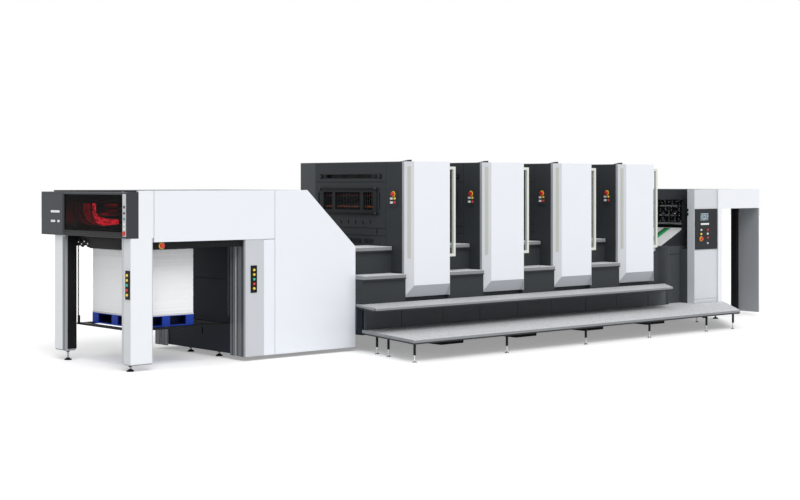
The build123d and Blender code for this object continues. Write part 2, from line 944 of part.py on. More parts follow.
plate_x = x_hood - strip_plate
key_reach = hood_relief - strip_plate
strip_z0 = hood_bottom + hood_edge + strip_margin
strip_z1 = deck_bottom - hood_edge - strip_margin
with BuildPart() as switch_strip:
    y0 = y_near + hood_edge + strip_margin
    y1 = w0 - strip_margin
    profile_along_x(rectangle(y0, y1, strip_z0, strip_z1), plate_x, x_hood)
    knobs(Plane.YZ.offset(plate_x), [((y0 + y1) / 2, strip_z0 + rise) for rise in strip_knobs],
          lamp_radius, key_sink - key_reach)
    stop_place = ((y0 + y1) / 2, strip_z0 + strip_margin + stop_head)
    knobs(Plane.YZ.offset(plate_x), [stop_place], stop_head, -key_reach, stop_sides)
save(switch_strip, "hood_switch_strip")

with BuildPart() as key_panel:
    y0 = w1 + panel_margin
    y1 = y_far - hood_edge - panel_margin
    profile_along_x(rectangle(y0, y1, strip_z0, strip_z1), plate_x, x_hood)
    keys = []
    for z, columns in ((hood_bottom + key_upper, range(key_columns)), (hood_bottom + key_lower, (0, 2, 3))):
        for column in columns:
            key_y = y0 + key_lead + column * key_pitch
            keys.append((key_y, key_y + key_width, z, z + key_height))
    patches(Plane.YZ.offset(plate_x), keys, key_sink - key_reach)
save(key_panel, "hood_key_panel")

# Toothed gripper wheels inside the upper body, with their shaft and bars
pitch_angle = pi / wheel_teeth
tooth_outline = []
for i in range(2 * wheel_teeth):
    radius = wheel_radius - tooth_depth * (i % 2)
    tooth_outline.append((radius * cos(i * pitch_angle), radius * sin(i * pitch_angle)))
x_wheel = x_hood_back + wheel_setback
z_wheel = (upper_body_bottom + deck_bottom) / 2
wall_near = inner_near + upper_body_wall
wall_far = inner_far - upper_body_wall
with BuildPart() as gripper_wheels:
    rod_along_y(x_wheel, z_wheel, grip_shaft, wall_near, wall_far)
    for y in (wall_near + wheel_inset, wall_far - wheel_inset - wheel_width):
        rim = [(x_wheel + a, z_wheel + b) for a, b in tooth_outline]
        profile_along_y(rim, y, y + wheel_width)
    for angle in grip_angles:
        x = x_wheel + wheel_radius * cos(radians(angle))
        z = z_wheel + wheel_radius * sin(radians(angle))
        bar = rectangle(x - grip_bar / 2, x + grip_bar / 2, z - grip_bar / 2, z + grip_bar / 2)
        profile_along_y(bar, wall_near + wheel_inset, wall_far - wheel_inset)
save(gripper_wheels, "gripper_wheels")

# Beams, suction roller and sheet stops under the upper body
beam_z0 = upper_body_bottom - beam_drop
with BuildPart() as delivery_beams:
    beam_start = x_post + far_post_width
    near_beam = rectangle(inner_near, inner_near + beam_width, beam_z0, upper_body_bottom)
    far_beam = rectangle(y_far_post, y_far_post + beam_width, beam_z0, upper_body_bottom)
    profile_along_x(near_beam, x_panel, x_column)
    profile_along_x(far_beam, beam_start, x_column)
save(delivery_beams, "delivery_beams")

with BuildPart() as suction_roller:
    x = x_paper_end + suction_radius
    z = upper_body_bottom - beam_drop / 2
    rod_along_y(x, z, suction_shaft, inner_near + beam_width, y_far_post)
    for i in range(suction_count):
        y = y_paper + sheet_width * (i + 0.5) / suction_count
        rod_along_y(x, z, suction_radius, y - suction_width / 2, y + suction_width / 2)
save(suction_roller, "suction_roller")

with BuildPart() as sheet_stops:
    x1 = x_paper - stop_gap
    for i in range(stop_count):
        y = y_paper + sheet_width * (i + 0.5) / stop_count
        z0 = upper_body_bottom - stop_drop
        finger = [
            (y - stop_width / 2, upper_body_bottom),
            (y - stop_width / 2, z0 + stop_plate),
            (y, z0),
            (y + stop_width / 2, z0 + stop_plate),
            (y + stop_width / 2, upper_body_bottom),
        ]
        profile_along_x(finger, x1 - stop_plate, x1)
save(sheet_stops, "sheet_stops")

# Delivery pile: an open carrier with its chains, the pallet and the sheets
pallet_top = carrier_top + pallet_height
with BuildPart() as pile_board:
    y0 = chain_rows[0] - chain_inset
    y1 = chain_rows[1] + chain_inset
    z0 = carrier_top - carrier_thickness
    plan(rectangle(x_carrier, x_carrier_end, y0, y1), z0, carrier_top)
    bay = (x_carrier_end - x_carrier - carrier_border) / carrier_windows
    openings = []
    for i in range(carrier_windows):
        x0 = x_carrier + carrier_border + i * bay
        openings.append((x0, x0 + bay - carrier_border, y0 + carrier_border, y1 - carrier_border))
    patches(Plane.XY.offset(z0), openings, carrier_thickness, Mode.SUBTRACT)
save(pile_board, "pile_board")

with BuildPart() as hoist_chains:
    half = chain_size / 2
    for x in chain_columns:
        for y in chain_rows:
            plan(rectangle(x - half, x + half, y - half, y + half), carrier_top, chain_top)
save(hoist_chains, "hoist_chains")

with BuildPart() as pallet:
    x0, x1 = x_paper, x_paper_end
    y0, y1 = y_paper, y_paper + sheet_width
    plan(rectangle(x0, x1, y0, y1), carrier_top, pallet_top)
    pocket_z0 = carrier_top + pallet_skid
    pocket_z1 = pallet_top - pallet_deck
    x_gap = (x1 - x0 - pocket_count * pocket_width) / (pocket_count + 1)
    y_gap = (y1 - y0 - pocket_count * pocket_length) / (pocket_count + 1)
    side_pockets = []
    end_pockets = []
    for i in range(pocket_count):
        px = x0 + x_gap + i * (pocket_width + x_gap)
        py = y0 + y_gap + i * (pocket_length + y_gap)
        side_pockets.append((px, px + pocket_width, pocket_z0, pocket_z1))
        end_pockets.append((py, py + pocket_length, pocket_z0, pocket_z1))
    patches(Plane.XZ.offset(-y0), side_pockets, -pocket_recess, Mode.SUBTRACT)
    patches(Plane.XZ.offset(-y1), side_pockets, pocket_recess, Mode.SUBTRACT)
    patches(Plane.YZ.offset(x0), end_pockets, x1 - x0, Mode.SUBTRACT)
save(pallet, "pallet")

with BuildPart() as paper_stack:
    plan(rectangle(x_paper, x_paper_end, y_paper, y_paper + sheet_width), pallet_top, pile_top)
save(paper_stack, "paper_stack")

# Button strips on the near post and the near column, and the beam's stop
strip_z1 = strip_bottom + strip_height
lamp_zs = [strip_bottom + strip_lamp_rise + i * strip_lamp_pitch for i in range(strip_lamp_count)]
with BuildPart() as pile_buttons:
    y0 = y_near + post_strip_inset
    profile_along_x(rectangle(y0, y0 + strip_width, strip_bottom, strip_z1), x_post - station_plate, x_post)
    places = [(y0 + strip_width / 2, z) for z in lamp_zs]
    knobs(Plane.YZ.offset(x_post - station_plate), places, lamp_radius, -lamp_reach)
    x0 = x_column + column_strip_inset
    plate_y = column_face - seam_size
    profile_along_y(rectangle(x0, x0 + strip_width, strip_bottom, strip_z1), plate_y, column_face)
    places = [(x0 + strip_width / 2, z) for z in lamp_zs]
    knobs(Plane.XZ.offset(-plate_y), places, lamp_radius, lamp_reach)
    beam_stop = (x_panel + beam_stop_place, side_panel_bottom - stop_collar - strip_margin)
    emergency_stop(Plane.XZ.offset(-inner_near), beam_stop, 1)
save(pile_buttons, "pile_buttons")

# Infeed between the last tower and the feeder
y_side = y_feeder + cabinet_depth
with BuildPart() as infeed_body:
    plan(rectangle(x_infeed, x_feeder, y_infeed, y_base_far), base_top, infeed_body_top)
save(infeed_body, "infeed_body")

# Side frames whose window follows the slope of the feed board
feed_top = infeed_body_top + feed_rise
x_board_end = x_feeder + feed_reach
x_frame_end = x_feeder + frame_reach
board_low = infeed_body_top + feed_board_thickness
feed_slope = (feed_top - board_low) / (x_board_end - x_infeed)
window_x0 = x_infeed + frame_post
window_x1 = x_frame_end - frame_post
sill = board_low - feed_margin
frame_window = [
    (window_x0, sill + feed_slope * (window_x0 - x_infeed)),
    (window_x1, sill + feed_slope * (window_x1 - x_infeed)),
    (window_x1, feeder_top - frame_beam),
    (window_x0, feeder_top - frame_beam),
]
frame_end = [
    (x_feeder, console_bottom),
    (x_frame_end, console_bottom),
    (x_frame_end, feeder_top),
    (x_infeed, feeder_top),
]
near_frame = [
    (x_infeed, base_top),
    (x_end_column, base_top),
    (x_end_column, end_column_top),
    (column_end, end_column_top),
    (column_end, platform_top),
    (x_feeder, platform_top),
    *frame_end,
]
far_frame = [(x_infeed, base_top), (x_feeder, base_top), *frame_end]
with BuildPart() as infeed_frames:
    for side, y0 in ((near_frame, y_infeed - frame_plate), (far_frame, y_base_far)):
        profile_along_y(side, y0, y0 + frame_plate)
        profile_along_y(frame_window, y0, y0 + frame_plate, Mode.SUBTRACT)
    seam = [(column_end, x_feeder, frame_seam, frame_seam + seam_size)]
    patches(Plane.XZ.offset(frame_plate - y_infeed), seam, -seam_size, Mode.SUBTRACT)
save(infeed_frames, "infeed_frames")

with BuildPart() as feed_board:
    board_side = [
        (x_infeed, infeed_body_top),
        (x_infeed + feed_board_thickness, infeed_body_top),
        (x_board_end, feed_top - feed_board_thickness),
        (x_board_end, feed_top),
        (x_infeed, board_low),
    ]
    profile_along_y(board_side, y_infeed, y_base_far)
save(feed_board, "feed_board")

with BuildPart() as infeed_rollers:
    x = x_board_end - pull_setback
    z = feed_top + pull_rise
    rod_along_y(x, z, pull_shaft, y_infeed, y_base_far)
    for i in range(pull_count):
        y = y_middle + sheet_width * ((i + 0.5) / pull_count - 0.5)
        rod_along_y(x, z, pull_radius, y - pull_width / 2, y + pull_width / 2)
save(infeed_rollers, "infeed_rollers")

# Feeder: front wall, control cabinet and console, columns, headers and roof
with BuildPart() as feeder_wall:
    plan(rectangle(x_feeder, x_frame_end, y_side, y_base_far), post_bottom, console_bottom)
save(feeder_wall, "feeder_front_wall")

y_console = y_feeder + console_plate
x_portal = x_feeder + cabinet_length
with BuildPart() as control_cabinet:
    plan(rectangle(x_feeder, x_portal, y_console, y_side), platform_low, feeder_top)
    seam = [(x_feeder, x_portal, cabinet_seam, cabinet_seam + seam_size)]
    patches(Plane.XZ.offset(-y_console), seam, -seam_size, Mode.SUBTRACT)
save(control_cabinet, "control_cabinet")

console_face = y_console - console_plate / 2
console_top = console_bottom + console_height
with BuildPart() as control_console:
    x0 = x_feeder + console_gap
    x1 = x_portal - console_gap
    profile_along_y(rectangle(x0, x1, console_bottom, console_top), console_face, y_console)
    face = Plane.XZ.offset(-console_face)
    screen_x = x0 + screen_left
    screen_z = console_top - screen_drop
    screen = (screen_x, screen_x + screen_length, screen_z - screen_height, screen_z)
    patches(face, [screen], -screen_depth, Mode.SUBTRACT)
    keys = []
    for i in range(key_row_count):
        key_x = screen_x + i * key_row_pitch
        key_z = console_top - key_row_drop
        keys.append((key_x, key_x + cap_width, key_z, key_z + cap_height))
    patches(face, keys, console_plate / 2)
    places = [(x0 + left_lamps, console_top - drop) for drop in left_drops]
    places += [(x0 + right_lamps, console_top - drop) for drop in right_drops]
    knobs(face, places, lamp_radius, console_plate / 2)
    stop_place = (x0 + left_lamps, console_top - stop_drop_place)
    knobs(face, [stop_place], stop_collar, stop_collar_reach, stop_sides)
    knobs(face, [stop_place], stop_head, console_plate / 2, stop_sides)
save(control_console, "control_console")

x_portal_end = x_portal + column_length
header_bottom = feeder_top - header_height
portal_rows = (y_feeder, y_drive - column_reach)
with BuildPart() as feeder_columns:
    for y in portal_rows:
        plan(rectangle(x_portal, x_portal_end, y, y + column_reach), post_bottom, header_bottom)
save(feeder_columns, "feeder_columns")

with BuildPart() as feeder_headers:
    for y in portal_rows:
        plan(rectangle(x_portal, x_end, y, y + column_reach), header_bottom, feeder_top)
save(feeder_headers, "feeder_headers")

panel_x = x_end - end_panel_thickness
with BuildPart() as end_panels:
    for y in (y_feeder, y_drive - end_panel_width):
        plan(rectangle(panel_x, x_end, y, y + end_panel_width), end_panel_bottom, header_bottom)
save(end_panels, "feeder_end_panels")

guide_edges = (y_feeder + end_panel_width, y_drive - end_panel_width)
with BuildPart() as guide_posts:
    for y in (guide_edges[0], guide_edges[1] - guide_post_width):
        post_plan = rectangle(panel_x - guide_post_depth, x_end, y, y + guide_post_width)
        plan(post_plan, post_bottom, feeder_top - feeder_roof)
save(guide_posts, "feeder_guide_posts")

with BuildPart() as feeder_roof_cover:
    roof = rectangle(x_feeder, x_end, y_feeder + column_reach, y_drive - column_reach)
    plan(roof, feeder_top - feeder_roof, feeder_top)
save(feeder_roof_cover, "feeder_roof")

# Suction head across the feeder under the roof, with an apron towards the
# feed board and two rows of sucker barrels
with BuildPart() as feeder_head:
    x0 = x_portal - head_length
    z1 = feeder_top - feeder_roof
    z0 = z1 - head_height
    head_side = [
        (x0, z1),
        (x0, z0 - apron_drop),
        (x0 + apron_thickness, z0 - apron_drop),
        (x0 + apron_thickness, z0),
        (x_portal - head_chamfer, z0),
        (x_portal, z0 + head_chamfer),
        (x_portal, z1),
    ]
    y0 = y_feeder + column_reach + head_gap
    y1 = y_drive - column_reach - head_gap
    profile_along_y(head_side, y0, y1)
    places = []
    for i in range(barrel_count):
        y = y0 + (i + 0.5) * (y1 - y0) / barrel_count
        places += [(x0 + barrel_margin, y), (x_portal - barrel_margin, y)]
    knobs(Plane.XY.offset(z0), places, barrel_radius, -barrel_length)
save(feeder_head, "feeder_head")

# Levelling feet under the delivery and the feeder
foot_room = 2 * foot_radius
with BuildPart() as levelling_feet:
    levelling_foot(x_post + post_foot, y_near + post_depth / 2, post_bottom)
    levelling_foot(x_post + far_post_width / 2, y_far_post + far_post_foot, far_post_bottom)
    for x in (x_wall + foot_room, x_rear - foot_room):
        for y in (inner_near + rear_foot_inset, inner_far - rear_foot_inset):
            levelling_foot(x, y, post_bottom)
    for y in portal_rows:
        for y_foot in (y + foot_room, y + column_reach - foot_room):
            levelling_foot(x_portal + column_length / 2, y_foot, post_bottom)
    for y in (guide_edges[0] + guide_foot, guide_edges[1] - guide_foot):
        levelling_foot(panel_x - guide_post_depth / 2, y, post_bottom)
save(levelling_feet, "levelling_feet")
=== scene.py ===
"""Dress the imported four-unit offset printing press for rendering.

Every size is in metres in the CAD frame: X runs from the delivery to the
feeder, the operator stands at -Y, and the floor is Z = 0. Each sub-assembly
is a class that works its meshes out with numpy and gives them a finish.
"""
import logging
import math
from dataclasses import dataclass, replace
from enum import Enum
from typing import Sequence

import bpy
import numpy as np
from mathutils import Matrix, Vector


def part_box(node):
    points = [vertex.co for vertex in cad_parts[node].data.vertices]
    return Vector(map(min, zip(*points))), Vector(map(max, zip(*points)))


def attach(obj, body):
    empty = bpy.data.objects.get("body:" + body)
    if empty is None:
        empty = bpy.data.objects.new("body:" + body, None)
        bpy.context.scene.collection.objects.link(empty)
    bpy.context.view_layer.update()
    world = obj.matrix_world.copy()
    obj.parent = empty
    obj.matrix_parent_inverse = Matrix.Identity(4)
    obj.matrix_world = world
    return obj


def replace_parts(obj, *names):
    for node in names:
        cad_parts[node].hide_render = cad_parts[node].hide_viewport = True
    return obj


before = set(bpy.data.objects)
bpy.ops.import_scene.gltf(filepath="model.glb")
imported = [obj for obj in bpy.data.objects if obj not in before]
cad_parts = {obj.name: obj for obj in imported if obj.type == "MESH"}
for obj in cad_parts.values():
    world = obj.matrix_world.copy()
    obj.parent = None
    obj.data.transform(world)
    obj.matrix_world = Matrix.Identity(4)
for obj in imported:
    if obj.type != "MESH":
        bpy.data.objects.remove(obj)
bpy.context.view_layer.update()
LOG = logging.getLogger("press")

Array = np.ndarray
Node = bpy.types.Node
Socket = bpy.types.NodeSocket
Point = Sequence[float]
Profile = Sequence[tuple[float, float]]
Span = tuple[float, float]
Size = tuple[float, float, float]
Colour = tuple[float, float, float]
Value = Socket | Colour | float

IMAGE_WIDTH = 800
IMAGE_HEIGHT = 500
# Gap that keeps an added face clear of the face behind it.
SKIN = 0.0012


class Body(Enum):
    """The two bodies: the fixed press, and the pile that moves up and down in it."""

    PRESS = "press"
    PILE = "pile"


class Axis(Enum):
    """An axis of the frame, by the name that the shader nodes give it."""

    X = "X"
    Y = "Y"


class Facing(Enum):
    """A direction with its two axes, so that across x up = outwards."""

    LEFT = ((0, -1, 0), (0, 0, 1), (-1, 0, 0))
    FRONT = ((1, 0, 0), (0, 0, 1), (0, -1, 0))
    UP = ((1, 0, 0), (0, 1, 0), (0, 0, 1))
    BACK = ((0, 0, 1), (1, 0, 0), (0, 1, 0))


def srgb(red: int, green: int, blue: int) -> Colour:
    """Turn a screen colour into linear light by the sRGB curve.

    Args:
        red: Red from 0 to 255.
        green: Green from 0 to 255.
        blue: Blue from 0 to 255.

    Returns:
        The three linear values.
    """
    values = np.array([red, green, blue]) / 255
    linear = np.where(values <= 0.04045, values / 12.92, ((values + 0.055) / 1.055) ** 2.4)
    return tuple(float(v) for v in linear)


def shaded(colour: Colour, share: float) -> Colour:
    """Give a colour with only a share of its light."""
    return tuple(share * v for v in colour)


# Surfaces


@dataclass
class Shell:
    """One surface: its points, and blocks of faces as arrays of indices."""

    points: Array
    faces: list[Array]


def rings(points: Array) -> Shell:
    """Join closed rings of points into a closed surface.

    Place j on ring i is joined to its neighbours j + 1 and i + 1 by a quad,
    and the two end rings are closed by a fan to their mean point.

    Args:
        points: Array of shape (rings, places, 3).

    Returns:
        The joined surface.
    """
    count, sides = points.shape[:2]
    index = np.arange(count * sides).reshape(count, sides)
    low, high = index[:-1], index[1:]
    quads = np.stack([low, np.roll(low, -1, 1), np.roll(high, -1, 1), high], -1).reshape(-1, 4)
    first, last = count * sides, count * sides + 1
    start, end = index[0], index[-1]
    start_fan = np.stack([np.full(sides, first), np.roll(start, -1), start], -1)
    end_fan = np.stack([np.full(sides, last), end, np.roll(end, -1)], -1)
    centres = points[[0, -1]].mean(axis=1)
    return Shell(np.vstack([points.reshape(-1, 3), centres]), [quads, start_fan, end_fan])


def lattice(points: Array) -> Shell:
    """Join an open grid of points with quads.

    Args:
        points: Array of shape (rows, columns, 3).

    Returns:
        The open surface.
    """
    rows, columns = points.shape[:2]
    index = np.arange(rows * columns).reshape(rows, columns)
    quads = np.stack([index[:-1, :-1], index[:-1, 1:], index[1:, 1:], index[1:, :-1]], -1)
    return Shell(points.reshape(-1, 3), [quads.reshape(-1, 4)])


def placed(local: Array, facing: Facing, origin: Point) -> Array:
    """Carry local (across, up, out) points to a place that faces one way."""
    return local @ np.array(facing.value, float) + np.array(origin, float)


def turned(profile: Profile, facing: Facing, origin: Point, sides: int = 24) -> Shell:
    """Turn a profile into a surface of revolution.

    A point of the profile is (radius, height); at angle t it becomes
    (radius cos t, radius sin t, height) along the facing direction.

    Args:
        profile: Radius and height of each ring, from the base outwards.
        facing: Direction of the axis.
        origin: Place of the profile's zero height.
        sides: Places on each ring.

    Returns:
        The closed surface.
    """
    angle = np.linspace(0, 2 * np.pi, sides, endpoint=False)
    radius, height = np.array(profile, float).T
    local = np.stack([
        radius[:, None] * np.cos(angle),
        radius[:, None] * np.sin(angle),
        np.repeat(height[:, None], sides, 1),
    ], -1)
    return rings(placed(local, facing, origin))


def rounded_outline(width: float, height: float, corner: float, steps: int = 4) -> Array:
    """Give the points of a rectangle with corners of one radius.

    Each quarter is an arc of the corner's radius about a centre that lies
    half the width and height, less the radius, from the middle.

    Args:
        width: Width of the rectangle.
        height: Height of the rectangle.
        corner: Radius of its corners.
        steps: Points on each corner.

    Returns:
        The outline's points, shape (4 x steps, 2).
    """
    quarter = np.linspace(0, np.pi / 2, steps)
    angle = (np.arange(4)[:, None] * np.pi / 2 + quarter).ravel()
    signs = np.repeat([[1, 1], [-1, 1], [-1, -1], [1, -1]], steps, axis=0)
    centre = signs * (np.array([width, height]) / 2 - corner)
    return centre + corner * np.stack([np.cos(angle), np.sin(angle)], -1)


def slab(size: Size, facing: Facing, origin: Point,
         corner: float = 0.004, edge: float = 0.0015, steps: int = 4) -> Shell:
    """Make a plate with round corners and an eased front edge.

    A rounded outline is carried outwards by the depth, and over the last
    stretch it shrinks by a quarter circle of the edge's radius.

    Args:
        size: Width, height and depth.
        facing: Direction that the front looks in.
        origin: Middle of the back face.
        corner: Radius of the outline's corners.
        edge: Radius of the front edge.
        steps: Points on each corner.

    Returns:
        The closed plate.
    """
    edge_rings = 4
    width, height, depth = size
    turn = np.linspace(0, np.pi / 2, edge_rings)
    inset = np.concatenate([[0], edge * (1 - np.cos(turn))])
    out = np.concatenate([[0], depth - edge + edge * np.sin(turn)])
    base = rounded_outline(width, height, corner, steps)
    shrink = 1 - 2 * inset[:, None] / np.array([width, height])
    flat = base[None] * shrink[:, None, :]
    local = np.concatenate([flat, np.broadcast_to(out[:, None, None], (*flat.shape[:2], 1))], -1)
    return rings(placed(local, facing, origin))


def upright(outline: Profile, foot: float, top: float) -> Shell:
    """Carry an outline in plan straight up.

    Args:
        outline: The corners in plan, in anticlockwise order.
        foot: Height of the underside.
        top: Height of the top.

    Returns:
        The closed plate.
    """
    levels = 3
    flat = np.repeat(np.array(outline)[None], levels, 0)
    heights = np.linspace(foot, top, levels)
    tall = np.repeat(heights[:, None], len(outline), 1)[..., None]
    return rings(np.concatenate([flat, tall], -1))


def swept(path: Array, radius: float | Array, sides: int = 10) -> Shell:
    """Carry a circle along a path that bends in one plane.

    The ring at each point is spanned by the plane's normal and by the cross
    product of that normal and the path's direction there.

    Args:
        path: The points, shape (count, 3).
        radius: One radius, or one for each point.
        sides: Places on each ring.

    Returns:
        The closed tube.
    """
    direction = np.gradient(path, axis=0)
    direction /= np.linalg.norm(direction, axis=1, keepdims=True)
    normal = np.cross(direction[0], direction[-1])
    normal = normal / np.linalg.norm(normal)
    side = np.cross(direction, normal)
    angle = np.linspace(0, 2 * np.pi, sides, endpoint=False)[:, None]
    ring = np.cos(angle) * normal[None, None] + np.sin(angle) * side[:, None]
    return rings(path[:, None] + np.broadcast_to(radius, len(path))[:, None, None] * ring)


def stands(node: str, radius: float) -> list[Size]:
    """Read where a node's separate stands are, and how high each one is.

    The lowest point left over starts a group of all points within 2.4 radii
    in plan, and the group's box gives the middle and the top.

    Args:
        node: Name of the CAD node.
        radius: Radius of one stand's shoe.

    Returns:
        Middle x, middle y and top of each stand.
    """
    reach = 2.4 * radius
    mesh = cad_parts[node].data
    points = np.empty(len(mesh.vertices) * 3)
    mesh.vertices.foreach_get("co", points)
    points = points.reshape(-1, 3)
    found = []
    while len(points):
        start = points[points[:, 2].argmin()]
        near = np.linalg.norm(points[:, :2] - start[:2], axis=1) < reach
        low, high = points[near].min(0), points[near].max(0)
        found.append(((low[0] + high[0]) / 2, (low[1] + high[1]) / 2, high[2]))
        points = points[~near]
    return found


def join_shells(name: str, shells: Sequence[Shell]) -> bpy.types.Mesh:
    """Put shells into one mesh, each block of indices moved on by the points before it.

    Args:
        name: Name of the mesh.
        shells: The surfaces that it is made of.

    Returns:
        The new mesh.
    """
    starts = np.cumsum([0] + [len(shell.points) for shell in shells])
    points = np.vstack([shell.points for shell in shells])
    blocks = [(block + start).tolist() for shell, start in zip(shells, starts) for block in shell.faces]
    mesh = bpy.data.meshes.new(name)
    mesh.from_pydata(points.tolist(), [], [face for block in blocks for face in block])
    return mesh


def add_object(name: str, data: bpy.types.ID) -> bpy.types.Object:
    """Put a mesh, lamp or camera into the scene.

    Args:
        name: Name of the object.
        data: Its mesh, lamp or camera.

    Returns:
        The new object.
    """
    thing = bpy.data.objects.new(name, data)
    bpy.context.scene.collection.objects.link(thing)
    return thing


def make_piece(name: str, shells: Sequence[Shell], finish: "Finish",
               body: Body = Body.PRESS, sharp: float = 35.0) -> bpy.types.Object:
    """Put shells into one mesh object, dress it and seat it on a body.

    Args:
        name: Name of the piece.
        shells: The surfaces that it is made of.
        finish: Its material.
        body: The body that carries it.
        sharp: Angle in degrees above which an edge stays sharp.

    Returns:
        The new object.
    """
    mesh = join_shells(name, shells)
    mesh.polygons.foreach_set("use_smooth", np.ones(len(mesh.polygons), bool))
    mesh.set_sharp_from_angle(angle=math.radians(sharp))
    mesh.validate()
    piece = add_object(name, mesh)
    mesh.materials.append(finish.material())
    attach(piece, body.value)
    LOG.info("piece %s: %d faces", name, len(mesh.polygons))
    return piece


def thicken(piece: bpy.types.Object, thickness: float) -> None:
    """Give an open surface a wall."""
    piece.modifiers.new("wall", "SOLIDIFY").thickness = thickness


def dress(finish: "Finish", *nodes: str) -> None:
    """Give CAD nodes a finish.

    Args:
        finish: The material.
        *nodes: Names of the nodes.
    """
    for node in nodes:
        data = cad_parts[node].data
        data.materials.clear()
        data.materials.append(finish.material())


# Finishes

# Sockets of the colour mix node: factor, first colour, second colour, result.
MIX_INPUTS = (0, 6, 7)
MIX_RESULT = 2
# Width over which one colour gives way to the next.
SOFT = 0.001
# Parts of a face's direction along one axis between which its mask changes.
SQUARE = (0.95, 0.97)
OUTWARD = (-0.9, -0.85)
UNDERSIDE = (-0.25, -0.2)


class Tree:
    """A node tree with short calls to add and join nodes."""

    def __init__(self, tree: bpy.types.NodeTree) -> None:
        """Keep the tree that nodes go into."""
        self.tree = tree

    def add(self, kind: str, **values: object) -> Node:
        """Add a node and set its properties.

        Args:
            kind: Type of the node.
            **values: Properties to set on it.

        Returns:
            The node.
        """
        node = self.tree.nodes.new(kind)
        for key, value in values.items():
            setattr(node, key, value)
        return node

    def join(self, source: Socket, target: Socket) -> None:
        """Link an output to an input."""
        self.tree.links.new(source, target)

    def feed(self, value: Value, target: Socket) -> None:
        """Link an output to an input, or set a colour or a number on it.

        Args:
            value: The output, colour or number.
            target: The input.
        """
        if isinstance(value, Socket):
            self.join(value, target)
        else:
            target.default_value = (*value, 1.0) if isinstance(value, tuple) else value

    def math(self, operation: str, first: Value, second: Value = 0.0) -> Socket:
        """Work one value out of two.

        Args:
            operation: The node's operation.
            first: First value.
            second: Second value.

        Returns:
            The result.
        """
        node = self.add("ShaderNodeMath", operation=operation)
        self.feed(first, node.inputs[0])
        self.feed(second, node.inputs[1])
        return node.outputs[0]

    def noise(self, vector: Socket, scale: Value, detail: float = 2.0) -> Socket:
        """Add a noise texture.

        Args:
            vector: Coordinates of the pattern.
            scale: Size of the pattern, as cells to the metre.
            detail: Number of finer layers.

        Returns:
            The noise, about 0.5.
        """
        node = self.add("ShaderNodeTexNoise")
        self.join(vector, node.inputs["Vector"])
        self.feed(scale, node.inputs["Scale"])
        node.inputs["Detail"].default_value = detail
        return node.outputs["Fac"]

    def range(self, value: Socket, low: float, high: float,
              start: float = 0.0, stop: float = 1.0) -> Socket:
        """Map a value from one range to another.

        Args:
            value: The value.
            low: Result at the start.
            high: Result at the stop.
            start: Where the value's range starts.
            stop: Where the value's range stops.

        Returns:
            The mapped value.
        """
        node = self.add("ShaderNodeMapRange")
        self.join(value, node.inputs["Value"])
        for key, number in zip(("From Min", "From Max", "To Min", "To Max"), (start, stop, low, high)):
            node.inputs[key].default_value = number
        return node.outputs["Result"]

    def above(self, value: Socket, start: float, stop: float) -> Socket:
        """Make a mask that rises from 0 at the start to 1 at the stop."""
        return self.range(value, 0.0, 1.0, start, stop)

    def below(self, value: Socket, start: float, stop: float) -> Socket:
        """Make a mask that falls from 1 at the start to 0 at the stop."""
        return self.range(value, 1.0, 0.0, start, stop)

    def band(self, value: Socket, low: float, high: float, soft: float) -> Socket:
        """Make a mask that is 1 between two values and fades over a soft edge."""
        rise = self.above(value, low - soft, low)
        return self.math("MULTIPLY", rise, self.below(value, high, high + soft))

    def parts(self, vector: Socket) -> bpy.types.NodeOutputs:
        """Split a vector into its X, Y and Z.

        Args:
            vector: The vector.

        Returns:
            The three outputs, by name.
        """
        node = self.add("ShaderNodeSeparateXYZ")
        self.join(vector, node.inputs[0])
        return node.outputs

    def place(self) -> Socket:
        """Add the object's own coordinates, which are the CAD frame's."""
        return self.add("ShaderNodeTexCoord").outputs["Object"]

    def facing(self) -> bpy.types.NodeOutputs:
        """Add the direction that each flat face looks in, as X, Y and Z."""
        return self.parts(self.add("ShaderNodeNewGeometry").outputs["True Normal"])

    def stretched(self, vector: Socket, scale: Size) -> Socket:
        """Scale coordinates along the three axes.

        Args:
            vector: The coordinates.
            scale: Factor along each axis.

        Returns:
            The scaled coordinates.
        """
        node = self.add("ShaderNodeMapping")
        self.join(vector, node.inputs["Vector"])
        node.inputs["Scale"].default_value = scale
        return node.outputs["Vector"]

    def mix(self, factor: Value, first: Value, second: Value, blend: str = "MIX") -> Socket:
        """Mix two colours.

        Args:
            factor: Share of the second colour.
            first: First colour.
            second: Second colour.
            blend: The node's way of mixing.

        Returns:
            The mixed colour.
        """
        node = self.add("ShaderNodeMix", data_type="RGBA", blend_type=blend)
        for value, index in zip((factor, first, second), MIX_INPUTS):
            self.feed(value, node.inputs[index])
        return node.outputs[MIX_RESULT]


def new_group(name: str, inputs: dict[str, str], outputs: dict[str, str]) -> tuple[Tree, Node, Node]:
    """Start a shader node group with named sockets.

    Args:
        name: Name of the group.
        inputs: Kind of each input.
        outputs: Kind of each output.

    Returns:
        The group's tree, its input node and its output node.
    """
    group = bpy.data.node_groups.new(name, "ShaderNodeTree")
    for way, sockets in (("INPUT", inputs), ("OUTPUT", outputs)):
        for key, kind in sockets.items():
            group.interface.new_socket(key, in_out=way, socket_type=f"NodeSocket{kind}")
    tree = Tree(group)
    return tree, tree.add("NodeGroupInput"), tree.add("NodeGroupOutput")


